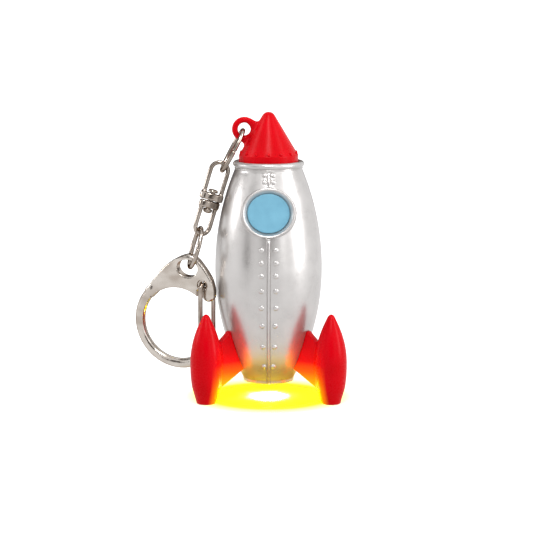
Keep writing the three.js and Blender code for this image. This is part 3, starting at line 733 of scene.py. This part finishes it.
# %% [markdown]
# The porthole's window is a flat painted disc with a soft edge, set into the boss. A cylinder with a
# bevel would do; turned circles give the same and follow the boss's oval.

# %% The porthole window
def window():
    turn = np.linspace(0, 2 * np.pi, 160, endpoint=False)
    outline = [(0, -1.7), (5.6, -1.7), (DISC, -1.6), (DISC, -0.86), (5.73, -0.79), (5.66, -0.75),
               (5.3, -0.745), (3, -0.73), (0, -0.72)]
    rings = [from_porthole(r * np.cos(turn), SQUASH * r * np.sin(turn), c + 0 * turn) for r, c in outline]
    return np.vstack(rings), grid_faces(len(rings), len(turn), wrap_columns=True)


disc = sharpen(piece("porthole_disc", *window(), BLUE), 40)
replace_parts(disc, "porthole_window")
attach(disc, "rocket")

# %% [markdown]
# ## The red nose
# The nose is a hollow cone with a round tip that slides in the collar as a push button. The
# eyelet is moulded with it. A cone and a torus joined by a Boolean would meet in a hard line, so the
# cone, the ring and the web between them melt into one field.

# %% The nose's field
NOSE_BASE, NOSE_BASE_Z, TIP_Z, TIP_ROUND, HALF_ANGLE = 8.2, 68.1, 78.0, 2.0, math.radians(30.7)
EYELET, EYELET_RING, EYELET_BAR, EYELET_HOLE = np.array([-6.7, 75.2]), 2.575, 0.86, 1.72


def nose_field(x, y, z):
    reach = np.hypot(x, y)
    side = (reach - NOSE_BASE) * math.cos(HALF_ANGLE) + (z - NOSE_BASE_Z) * math.sin(HALF_ANGLE)
    tip = np.hypot(reach, z - TIP_Z) - TIP_ROUND
    cone = np.where(z - TIP_Z > reach * math.tan(HALF_ANGLE), tip, side)
    cone = cut(cone, NOSE_BASE - reach, 0.25)
    from_eye = np.hypot(x - EYELET[0], z - EYELET[1])
    ring = np.hypot(from_eye - EYELET_RING, y / 1.12) - EYELET_BAR
    web = outline_distance([(-8.6, 72.9), (-6.6, 71.0), (-2.5, 71.6), (-2.5, 77), (-4.9, 77.9)], x, z)
    body = melt(cone, melt(ring, slab(web, y, 0.72, 0.5), 0.5), 1.0)
    body = cut(body, from_eye - EYELET_HOLE, 0.35)
    flange = slab(reach - 8.85, z - 61.2, 0.5, 0.1)
    skirt = slab(np.abs(reach - 7.45) - 0.75, z - 64.5, 3.8, 0.1)
    hollow = [(-6.7, 50), (6.7, 50), (6.7, 67.3), (1.9, 75.2), (-1.9, 75.2), (-6.7, 67.3)]
    stem = slab(reach - 1.5, z - 66.0, 9.1, 0.15)
    shell = np.minimum(np.maximum(body, 66.8 - z), np.minimum(flange, skirt))
    shell = np.maximum(shell, -outline_distance(hollow, reach, z))
    return np.minimum(shell, stem)


nose = piece("nose_shell", *surface(nose_field, (-10.2, -8.9, 56.8), (8.9, 8.9, 80.0), 0.2), RED)
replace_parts(nose, "nose_cone")
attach(nose, "nose_button")

# %% [markdown]
# A row of finer rivets runs round the foot of the cone, square to its slope. It is the same node
# tree with another guide.

# %% Rivets round the nose
NOSE_RIVETS = 14
turn = np.radians(np.arange(NOSE_RIVETS) * 360 / NOSE_RIVETS - 90)
level = 68.75
reach = NOSE_BASE - (level - NOSE_BASE_Z) * math.tan(HALF_ANGLE)
out = np.stack([np.cos(turn), np.sin(turn), 0 * turn], axis=-1)
places = out * reach + np.array([0, 0, level])
tilt = out * math.cos(HALF_ANGLE) + np.array([0, 0, math.sin(HALF_ANGLE)])
nose_rivets = rivets("nose_rivets", places, tilt, 0.48, 0.8, RED)
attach(nose_rivets, "nose_button")

# %% [markdown]
# ## Fins
# Each fin is a torpedo-shaped pod, a flat web that carries it, and a tab that goes through a slot in
# the hull. The pod alone could be turned on a lathe, but the web flows into it and has a soft edge
# all round, so the fin is a field as well. One mesh is drawn and turned to three places.

# %% The fins
POD_CENTRE = 19.9
POD_SIDE = smooth_line([(2.55, 0.0), (2.8, 0.35), (3.3, 2.1), (3.9, 4.2), (4.32, 7.3), (4.45, 10.6),
                        (4.35, 13.7), (3.9, 16.6), (3.25, 19.0), (2.45, 21.2), (1.45, 23.4), (0.9, 24.5),
                        (0.45, 24.9)], 4)
WEB = [(6.0, 9.2), (8.3, 8.7), (15.6, 4.0), (19.9, 4.5), (19.9, 15), (16.4, 16.4), (13.7, 19.0),
       (13.2, 19.55), (12.6, 19.8), (12.1, 19.6), (11.7, 19.1), (6.0, 13)]


def fin_field(x, y, z):
    half = np.array([(0.0, 0.0), *POD_SIDE[:-1], (0.4, 24.93), (0.0, 25.0)])
    whole = np.vstack([half, half[-2:0:-1] * [-1, 1]])
    pod = outline_distance(whole, np.hypot(x - POD_CENTRE, y) + 0.03, z)
    web = slab(outline_distance(WEB, x, z), y, 1.05, 0.5)
    web = np.maximum(web, hull_radius(z) + 0.02 - np.hypot(x, y))
    tab = slab(np.maximum(np.abs(x - 12.2) - 2.8, np.abs(z - 14) - 2.5), y, 0.7, 0.1)
    return np.minimum(melt(pod, web, 0.9), tab)


fin_points, fin_faces = surface(fin_field, (8.6, -4.5, 0.0), (24.4, 4.5, 25.0), 0.21)
for name, azimuth in {"fin_left": 210, "fin_right": 330, "fin_rear": 90}.items():
    c, s = math.cos(math.radians(azimuth)), math.sin(math.radians(azimuth))
    turned_points = fin_points @ np.array([[c, s, 0], [-s, c, 0], [0, 0, 1]])
    fin = piece(name + "_moulding", turned_points, fin_faces, RED)
    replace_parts(fin, name)
    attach(fin, "rocket")

# %% [markdown]
# ## The light in the tail
# A clear lamp shines down through the hole of an amber lens ring that closes the hull's tail.
# Both glow by themselves, so they look lit from any side. Glowing plastic alone would light the floor
# with a lot of grain, so real lights are added later to throw the colours on the fins and the floor.

# %% The lens and the lamp
def glowing_plastic(name, color, strength, roughness):
    t = Tree(name)
    cloud = t.noise(0.8, detail=2)
    shade = t.ramp(cloud, [(0.3, tuple(0.92 * v for v in color)), (0.7, color)])
    rough = t.spread(cloud, roughness, roughness + 0.1)
    return t.finish({"Base Color": shade, "Emission Color": shade, "Roughness": rough},
                    Emission_Strength=strength, Transmission_Weight=0.25)


AMBER = glowing_plastic("amber_lens_plastic", (1.0, 0.72, 0.02), 6.0, 0.25)
CLEAR = glowing_plastic("clear_lamp_resin", (1.0, 0.96, 0.82), 14.0, 0.08)

lens_outline = [(3.1, 5.55), (3.2, 5.5), (6.0, 5.5), (6.1, 5.6), (6.1, 5.9), (6.2, 7.1), (6.3, 8.35),
                (5.6, 8.35), (5.3, 6.9), (3.1, 6.9), (3.0, 6.8), (3.0, 5.65)]
lens_points, _ = turned(lens_outline, 96)
lens = piece("tail_lens_ring", lens_points, grid_faces(len(lens_outline), 96, True, True), AMBER)
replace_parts(sharpen(lens, 35), "tail_lens")
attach(lens, "rocket")

lamp_outline = [(0, 6.4), *arc(0, 8.9, 2.5, -88, 0, 14), (2.5, 13.5), (2.55, 13.6), (2.85, 13.6),
                (2.9, 13.7), (2.9, 14.5), (2.85, 14.6), (0, 14.6)]
lamp = piece("lamp_body", *turned(lamp_outline, 64), CLEAR)
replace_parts(sharpen(lamp, 35), "lamp")
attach(lamp, "rocket")

# %% [markdown]
# ## The chain
# A jump ring is one turn of wire with a hairline slit. A torus would be closed and quite round; real
# ones are a little oval, so a ring here is a wire along an oval line. It hangs between two joints of
# the frame: the first is where it passes through the piece above, the second where the next hangs.

# %% Jump rings
JUMP_WIRE, SLIT = 0.622, 0.032


def link_axes(top, bottom, across):
    up = (top - bottom) / np.linalg.norm(top - bottom)
    square = np.cross(up, across)
    square /= np.linalg.norm(square)
    return np.cross(square, up), square, up


def jump_ring(name, node, body, upper_joint, lower_joint, half_width):
    top, bottom = joint_point(upper_joint), joint_point(lower_joint)
    across, _, up = link_axes(top, bottom, -joint_axis(upper_joint))
    turn = np.linspace(SLIT, 2 * np.pi - SLIT, 120)[:, None]
    line = (top + bottom) / 2 + half_width * np.cos(turn) * across
    line = line + np.linalg.norm(top - bottom) / 2 * np.sin(turn) * up
    ring = piece(name, *wire(line, JUMP_WIRE), DARKENED_WIRE_NICKEL)
    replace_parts(ring, node)
    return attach(ring, body)


jump_ring("upper_ring_wire", "jump_ring_upper", "upper_ring", "upper_ring_swing", "swivel_swing", 3.2)
jump_ring("lower_ring_wire", "jump_ring_lower", "lower_ring", "lower_ring_swing", "clasp_swing", 4.0)

# %% [markdown]
# The swivel is two stirrups, each a bent wire forged into a thick foot. A rivet through both feet
# lets them turn on each other. A swept wire pushed into a cylinder would show a crease, so the wire
# and the foot are fields that melt together as a forging does. The rivet is plainly turned.

# %% The swivel
STIRRUP_WIRE, FOOT, SWIVEL_LENGTH, UPPER_LENGTH, TURN, GAP = 0.6, 1.9, 21.84, 11.4, 32.0, 0.3
swivel_top = joint_point("swivel_turn")
swivel_up = joint_axis("swivel_turn")
swivel_x, swivel_y, swivel_z = link_axes(swivel_top, swivel_top - swivel_up, np.array([1.0, 0, 0]))


def on_swivel(points):
    points = np.asarray(points)
    return swivel_top + points[:, :1] * swivel_x + points[:, 1:2] * swivel_y + points[:, 2:] * swivel_z


def stirrup_field(half_width, height):
    straight = height - STIRRUP_WIRE - half_width
    bow = [(-half_width, 0, 0.6), (-half_width, 0, straight * 0.5), (-half_width, 0, straight)]
    bow += [(x, 0, z) for x, z in arc(0, straight, half_width, 150, 30, 6)]
    bow += [(half_width, 0, straight), (half_width, 0, straight * 0.5), (half_width, 0, 0.6)]
    bow = smooth_line(bow, 4)

    def field(x, y, z):
        rod = line_distance(bow, x, y, z) - STIRRUP_WIRE
        broad = half_width + STIRRUP_WIRE + 0.2
        oval = (np.hypot(x / broad, y / 1.75) - 1) * 1.75
        foot = slab(oval, z - FOOT / 2, FOOT / 2, 0.35)
        hole = np.maximum(np.hypot(x, y) - 1.0, z - FOOT - 1.0)
        return cut(melt(rod, foot, 0.6), hole, 0.2)

    return field, (-half_width - 0.9, -1.8, 0), (half_width + 0.9, 1.8, height)


upper_points, faces = surface(*stirrup_field(2.4, UPPER_LENGTH), 0.13)
upper = piece("swivel_upper_stirrup", on_swivel(upper_points - [0, 0, UPPER_LENGTH]), faces, DARKENED_WIRE_NICKEL)
lower_points, faces = surface(*stirrup_field(2.3, SWIVEL_LENGTH - UPPER_LENGTH - GAP), 0.13)
c, s = math.cos(math.radians(TURN)), math.sin(math.radians(TURN))
lower_points = lower_points @ np.diag([1, -1, -1]) @ np.array([[c, s, 0], [-s, c, 0], [0, 0, 1]])
lower_points = on_swivel(lower_points - [0, 0, UPPER_LENGTH + GAP])
lower = piece("swivel_lower_stirrup", lower_points, faces, DARKENED_WIRE_NICKEL)
foot = 2 * FOOT + 3 * GAP
pin_outline = [(0, -1.22), (0.5, -1.2), (0.9, -1.08), (1.18, -0.8), (1.3, -0.45), (1.28, -0.1), (1.2, 0),
               (0.75, 0.0), (0.75, foot), (1.25, foot), (1.36, foot + 0.1), (1.36, foot + 0.35),
               (1.2, foot + 0.68), (0.8, foot + 0.86), (0, foot + 0.92)]
pin_points, faces = turned(pin_outline, 48)
pin_points = on_swivel(pin_points - [0, 0, UPPER_LENGTH + 2 * GAP + FOOT])
pin = piece("swivel_rivet_pin", pin_points, faces, DARKENED_WIRE_NICKEL)
for made, node, body in [(upper, "swivel_upper", "swivel_top"), (lower, "swivel_lower", "swivel_bottom"),
                         (sharpen(pin, 60), "swivel_rivet", "swivel_top")]:
    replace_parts(made, node)
    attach(made, body)

# %% [markdown]
# ## The snap clasp
# The clasp is cast in one piece: a flat head with an eye, and a round bar that goes most of the way
# round a big ring. It hangs askew, and a shape drawn askew is hard to read, so it is drawn flat, with
# u to the right, v up and n towards its face. The gate's joint gives n and the pivot, and the eye's
# centre follows from the pivot.

# %% The clasp's own coordinates
CLASP_N = -joint_axis("gate_open")
CLASP_V = np.cross(CLASP_N, [1.0, 0, 0])
CLASP_V /= np.linalg.norm(CLASP_V)
CLASP_U = np.cross(CLASP_V, CLASP_N)
PIVOT = np.array([4.5, -4.4])
EYE_AT = joint_point("gate_open") - PIVOT[0] * CLASP_U - PIVOT[1] * CLASP_V


def on_clasp(points):
    points = np.asarray(points)
    return EYE_AT + points[:, :1] * CLASP_U + points[:, 1:2] * CLASP_V + points[:, 2:] * CLASP_N


print("the clasp's eye is at", EYE_AT.round(2), "mm from the axis")

# %% [markdown]
# The head has the outline of a flat plate with rounded edges, and the bar is a little over half
# of a flattened torus. Melted together they give the casting's soft neck. The eye is cut through
# with a raised rim, and the gate, a wire bent into a long loop, gets its own hole and a shallow
# groove.

# %% The casting and its gate
RING_U, RING_V, RING_INNER, RING_OUTER, THICK = -3.3, -16.25, 10.3, 13.13, 2.6
GATE_WIRE, GATE_GROOVE = 0.645, 0.82


def head_outline():
    left = 138
    inner = arc(RING_U, RING_V, RING_INNER, 54, left, 16)
    start = arc(RING_U, RING_V, RING_OUTER, left, left, 0)
    top = smooth_line([start[0], (-8.3, -1.4), (-4.4, 2.0), (-0.9, 3.7), (1.2, 3.75), (3.2, 2.45),
                       (5.4, -0.1), (7.1, -2.8), (7.85, -5.5), (7.95, -7.3)], 4)
    horn = arc(6.15, -7.3, 1.8, -15, -180, 10)
    slot = arc(3.6, -6.6, 0.75, 0, 180, 8)
    return [*inner, *map(tuple, top), *horn, *slot]


HEAD = head_outline()


def clasp_field(u, v, n):
    head = slab(outline_distance(HEAD, u, v), n, THICK / 2, 0.62)
    turn = np.degrees(np.arctan2(v - RING_V, u - RING_U)) % 360
    turn = np.radians(np.clip(np.where(turn < 50, turn + 360, turn), 132, 323))
    middle = (RING_INNER + RING_OUTER) / 2
    du, dv = u - RING_U - middle * np.cos(turn), v - RING_V - middle * np.sin(turn)
    half = (RING_OUTER - RING_INNER) / 2
    bar = np.sqrt(du**2 + dv**2 + (n * 2 * half / THICK) ** 2) - half
    body = melt(head, bar, 0.9)
    oval = np.hypot(u / 3.62, v / 2.97)
    rim = np.hypot((oval - 1) * 3.25, np.abs(n) - 0.86) - 0.5
    body = melt(body, rim, 0.25)
    eye = (np.hypot(u / 3.1, v / 2.45) - 1) * 2.7
    body = cut(body, eye, 0.3)
    away = np.hypot(u - PIVOT[0], v - PIVOT[1])
    body = cut(body, away - 0.95, 0.1)
    return cut(body, np.maximum(away - 1.5, 0.85 - n), 0.15)


def gate_line():
    u, v = PIVOT
    front, back, far = 2.45, -2.35, u + 1.75
    return smooth_line([
        (u, v, 0.55), (u, v, 1.5), (u, v - 0.35, front - 0.1), (u, v - 1.4, front),
        (u - 0.05, v - 9, front), (u - 0.07, v - 15.8, front), (u + 0.15, v - 17.4, front - 0.4),
        (u + 0.6, v - 18.1, front - 1.5), (u + 1.1, v - 18.1, back + 1.5), (u + 1.6, v - 17.4, back + 0.4),
        (far, v - 15.8, back), (far, v - 9, back), (far, v - 4.6, back), (u + 0.9, v - 2.2, back),
        (u, v - 0.7, back + 0.1), (u, v, -1.45), (u, v, -0.55),
    ], 8, 0.4)


def clasp_body_field(u, v, n):
    """The casting with a groove pressed where the gate lies against it."""
    return cut(clasp_field(u, v, n), line_distance(gate_line()[::3], u, v, n) - GATE_GROOVE, 0.12)


clasp_points, faces = surface(clasp_body_field, (-16.7, -29.7, -1.6), (8.1, 3.9, 1.6), 0.16)
clasp = piece("clasp_casting", on_clasp(clasp_points), faces, CAST_NICKEL)
gate_points, faces = wire(gate_line(), GATE_WIRE, 18)
gate = piece("clasp_gate_wire", on_clasp(gate_points), faces, DARKENED_WIRE_NICKEL)
for made, node, body in [(clasp, "clasp_body", "clasp"), (gate, "clasp_gate", "gate")]:
    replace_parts(made, node)
    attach(made, body)

# %% [markdown]
# ## Inside the hull
# The pieces inside keep their exact solids: they show only when the hull is taken apart, and a
# finer skin would add nothing. Each still gets the finish of its real material.

# %% Finishes for the inside
def inner_finish(name, dark, light, roughness, metallic=0.0, grains=1.2, stretch=(1, 1, 1)):
    t = Tree(name)
    grain = t.noise(grains, detail=4, stretch=stretch)
    color = t.ramp(grain, [(0.3, dark), (0.7, light)])
    rough = t.spread(grain, roughness - 0.05, roughness + 0.08)
    skin = t.bump(grain, 0.1, 0.02)
    return t.finish({"Base Color": color, "Roughness": rough, "Normal": skin}, Metallic=metallic)


TINNED = inner_finish("tinned_metal", (0.42, 0.42, 0.41), (0.58, 0.58, 0.56), 0.3, 1.0, 3.0)
CELL_CAN = inner_finish("battery_can", (0.46, 0.46, 0.45), (0.62, 0.62, 0.60), 0.26, 1.0, 2.0, (1, 1, 0.1))
INNER = {
    "button_spring": TINNED, "lamp_lead_left": TINNED, "lamp_lead_right": TINNED, "contact_lower": TINNED,
    "contact_upper": TINNED, "coin_cell_1": CELL_CAN, "coin_cell_2": CELL_CAN, "coin_cell_3": CELL_CAN,
    "battery_frame": inner_finish("frame_plastic", (0.70, 0.69, 0.66), (0.80, 0.79, 0.76), 0.5),
    "switch_plunger": inner_finish("plunger_plastic", (0.72, 0.71, 0.68), (0.80, 0.79, 0.77), 0.4),
    "circuit_board": inner_finish("solder_mask", (0.012, 0.11, 0.035), (0.02, 0.16, 0.05), 0.35, 0.0, 0.8),
    "switch_body": inner_finish("switch_plastic", (0.015, 0.015, 0.017), (0.03, 0.03, 0.032), 0.5),
    "resistor": inner_finish("resistor_lacquer", (0.08, 0.24, 0.42), (0.12, 0.32, 0.52), 0.3),
    "wire_red": inner_finish("red_insulation", (0.42, 0.01, 0.01), (0.55, 0.02, 0.015), 0.45),
    "wire_black": inner_finish("black_insulation", (0.012, 0.012, 0.012), (0.03, 0.03, 0.03), 0.45),
}
for name, finish in INNER.items():
    mesh = frame["nodes"][name].data
    mesh.materials.clear()
    mesh.materials.append(finish)

# %% [markdown]
# The two screws can be seen from behind, deep in their wells, so they get pan heads with a cross. A
# thread would never show, so the shank is plain.

# %% Screws
def screw_field(x, y, z):
    reach = np.hypot(x, z)
    head = slab(np.hypot(reach, (y - 5.2) * 0.8) - 2.0, y - 7.25, 0.7, 0.12)
    head = np.maximum(head, reach - 1.8)
    upright = np.maximum(np.abs(x) - 0.2, np.abs(z) - 1.0)
    level = np.maximum(np.abs(z) - 0.2, np.abs(x) - 1.0)
    cross = np.minimum(upright, level)
    head = cut(head, np.maximum(cross, 7.1 - y), 0.08)
    shank = slab(reach - 0.8, y - 0.3, 6.6, 0.2)
    return np.minimum(head, shank)


screw_points, screw_faces = surface(screw_field, (-1.85, -6.4, -1.85), (1.85, 8.0, 1.85), 0.11)
for name, x in {"screw_left": -SCREW_X, "screw_right": SCREW_X}.items():
    screw = piece(name + "_cross_head", screw_points + [x, 0, SCREW_Z], screw_faces, TINNED)
    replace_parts(screw, name)
    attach(screw, "rocket")

# %% [markdown]
# ## Stage, light and camera
# The object stands on a light floor. White paint lit from above would drown the lamp's colours,
# so the floor's colour near the tail is painted dark, a painted shade round the tail. Its glow there
# is a painted pool of the lamp's light: black at the tail, then yellow, then light orange, then white
# further out, where it meets the white room without an edge. The light it throws back is cut
# down, so that the yellow doesn't climb the hull.

# %% The floor
def floor_finish():
    t = Tree("floor_painted_lamp_pool")
    reach = t.height_and_reach()[1]
    grain = t.noise(0.02, detail=2)
    # Painted shade: the floor's colour is dark out to 17 mm from the axis and light beyond 30 mm.
    painted_dark_stops = [(0.0, (0.02, 0.02, 0.02)), (1.0, (0.5, 0.5, 0.5))]
    color = t.ramp(t.spread(reach, 0.0, 1.0, 0.017, 0.030), painted_dark_stops)
    # Painted pool of light: the glow runs from black at the tail through the lamp's yellow and light
    # orange to white.
    painted_pool_stops = [(0.0, (0, 0, 0)), (0.12, (1.0, 0.72, 0.01)), (0.25, (1.0, 0.86, 0.40)),
            (0.5, (1.0, 0.95, 0.86)), (1.0, (1, 1, 1))]
    glow = t.ramp(t.spread(reach, 0.0, 1.0, 0.0155, 0.032), painted_pool_stops)
    seen = t.put("ShaderNodeLightPath").outputs["Is Camera Ray"]
    share = t.put("ShaderNodeMapRange", {"Value": seen, "To Min": 0.02, "To Max": 1.0}).outputs["Result"]
    seen_color = t.put("ShaderNodeVectorMath", {0: color, "Scale": share}, operation="SCALE").outputs[0]
    rough = t.spread(grain, 0.6, 0.7)
    return t.finish({"Base Color": seen_color, "Emission Color": glow, "Roughness": rough},
                    Emission_Strength=0.9, Specular_IOR_Level=0.1)


def card(name, centre, facing, width, height, finish, only_reflected=False):
    """A flat card that looks towards a point."""
    centre = Vector(centre)
    turn = (Vector(facing) - centre).to_track_quat("Z", "Y")
    corners = [(-width / 2, -height / 2, 0), (width / 2, -height / 2, 0), (width / 2, height / 2, 0),
               (-width / 2, height / 2, 0)]
    mesh = bpy.data.meshes.new(name)
    mesh.from_pydata([centre + turn @ Vector(c) for c in corners], [], [(0, 1, 2, 3)])
    mesh.materials.append(finish)
    made = bpy.data.objects.new(name, mesh)
    bpy.context.scene.collection.objects.link(made)
    if only_reflected:
        made.visible_camera = False
        made.visible_shadow = False
        made.visible_diffuse = False
    print(f"{name}: {width} by {height} m")


card("floor", (0, 0, 0), (0, 0, 1), 6.0, 6.0, floor_finish())

# %% [markdown]
# The room is a plain white world, a little brighter to the eye than to the object, so that the
# background stays clean while the shades keep their depth. An environment texture would light it
# too, but soft boxes can be moved one by one: each draws one soft band on the silver.

# %% The studio
scene = bpy.context.scene
world = bpy.data.worlds.new("studio")
world.use_nodes = True
backdrop = world.node_tree.nodes["Background"]
backdrop.inputs["Color"].default_value = (1.0, 1.0, 1.0, 1)
seen = world.node_tree.nodes.new("ShaderNodeLightPath")
dimmed = world.node_tree.nodes.new("ShaderNodeMapRange")
dimmed.inputs["To Min"].default_value = 0.88
dimmed.inputs["To Max"].default_value = 1.05
world.node_tree.links.new(seen.outputs["Is Camera Ray"], dimmed.inputs["Value"])
world.node_tree.links.new(dimmed.outputs[0], backdrop.inputs["Strength"])
scene.world = world
scene.view_settings.view_transform = "Standard"
MIDDLE = Vector((AXIS[0], AXIS[1], 0.036))


SOFTBOX_DISTANCE = 0.8


def lit_from(name, turn, rise, width, height, watts):
    """A soft box: turn is measured round from the camera's side, towards the right."""
    data = bpy.data.lights.new(name, "AREA")
    data.shape = "RECTANGLE"
    data.size, data.size_y, data.energy = width, height, watts
    turn, rise = math.radians(turn), math.radians(rise)
    away = Vector((math.sin(turn) * math.cos(rise), -math.cos(turn) * math.cos(rise), math.sin(rise)))
    light = bpy.data.objects.new(name, data)
    light.location = MIDDLE + away * SOFTBOX_DISTANCE
    light.rotation_euler = (-away).to_track_quat("-Z", "Y").to_euler()
    scene.collection.objects.link(light)
    print(f"{name}: {watts} W")


lit_from("right_softbox", 70, 22, 0.22, 0.7, 3.5)
lit_from("left_softbox", -90, 30, 0.22, 0.6, 2.4)
lit_from("front_strip", 0, 50, 0.14, 0.35, 3.0)
lit_from("pod_strip", 32, 8, 0.06, 0.6, 0.3)

# %% [markdown]
# Nickel looks like metal only when it has something dark to mirror. One dark card stands behind the
# camera. Brown ones stand to the left, above and behind, and are seen only in reflections, so they
# throw no shadow and can't be seen directly.

# %% Dark cards for the nickel
def flag_finish(name, color):
    t = Tree(name)
    grain = t.noise(0.01)
    shade = t.ramp(grain, [(0.3, color), (0.7, tuple(0.9 * v for v in color))])
    return t.finish({"Base Color": shade}, Roughness=0.9)


DARK = flag_finish("dark_card", (0.10, 0.085, 0.075))
BROWN = flag_finish("brown_card", (0.030, 0.018, 0.011))
card("dark_card_camera", (AXIS[0], -1.6, 0.35), MIDDLE, 0.9, 0.9, DARK)
card("brown_card_left", (AXIS[0] - 0.20, -0.19, 0.09), (AXIS[0], 0, 0.09), 0.06, 0.22, BROWN, True)
card("brown_card_above_left", (AXIS[0] - 0.35, 0.05, 0.35), MIDDLE, 0.35, 0.35, BROWN, True)
card("brown_card_behind", (AXIS[0] - 0.10, 0.5, 0.1), MIDDLE, 0.6, 0.5, BROWN, True)

# %% [markdown]
# The lamp throws a small white spot straight down, and the amber ring round it a wide yellow pool.
# One lamp with a coloured texture would need exact aiming, so each colour is its own light. A weak
# orange disc just above the floor stands for the light that the pool sends back up.

# %% The lamp's light
def glow_disc(name, height_mm, watts, color, radius_mm):
    """The lit floor's own light: a disc just above the floor that shines up on the fins."""
    data = bpy.data.lights.new(name, "AREA")
    data.shape, data.size, data.energy, data.color = "DISK", 2 * radius_mm * MM, watts, color
    light = bpy.data.objects.new(name, data)
    light.location = AXIS + np.array([0, 0, height_mm * MM])
    light.rotation_euler = (math.pi, 0, 0)
    light.visible_camera = False
    light.visible_glossy = False
    scene.collection.objects.link(light)
    print(f"{name}: {watts} W")


def lamp_light(name, height_mm, watts, color, radius_mm, spread_degrees, soft):
    data = bpy.data.lights.new(name, "SPOT")
    data.energy, data.color, data.shadow_soft_size = watts, color, radius_mm * MM
    data.spot_size, data.spot_blend = math.radians(spread_degrees), soft
    light = bpy.data.objects.new(name, data)
    light.location = AXIS + np.array([0, 0, height_mm * MM])
    light.visible_camera = False
    scene.collection.objects.link(light)
    print(f"{name}: {watts} W")


lamp_light("white_spot", 5.0, 0.60, (1.0, 0.97, 0.92), 1.0, 114, 0.8)
lamp_light("yellow_pool", 3.6, 2.6, (1.0, 0.9, 0.0), 2.0, 161, 0.08)
glow_disc("floor_glow", 0.4, 0.02, (1.0, 0.35, 0.0), 17)

# %% [markdown]
# A long lens from 0.6 m away, a little above the toy, gives a flat, catalogue-like view. A shorter
# one from nearer would swell the front pods and shrink the nose.

# %% The camera
DISTANCE, RISE, LENS = 0.617, math.radians(8.77), 149.4
camera_data = bpy.data.cameras.new("camera")
camera_data.lens, camera_data.sensor_width = LENS, 36.0
camera_data.clip_end = 20.0
camera = bpy.data.objects.new("camera", camera_data)
aim = Vector((AXIS[0] - 0.00058, AXIS[1], 0.03680))
camera.location = aim + Vector((0, -math.cos(RISE), math.sin(RISE))) * DISTANCE
camera.rotation_euler = (aim - camera.location).to_track_quat("-Z", "Y").to_euler()
scene.collection.objects.link(camera)
scene.camera = camera
print(f"camera: {LENS} mm lens at {DISTANCE} m")
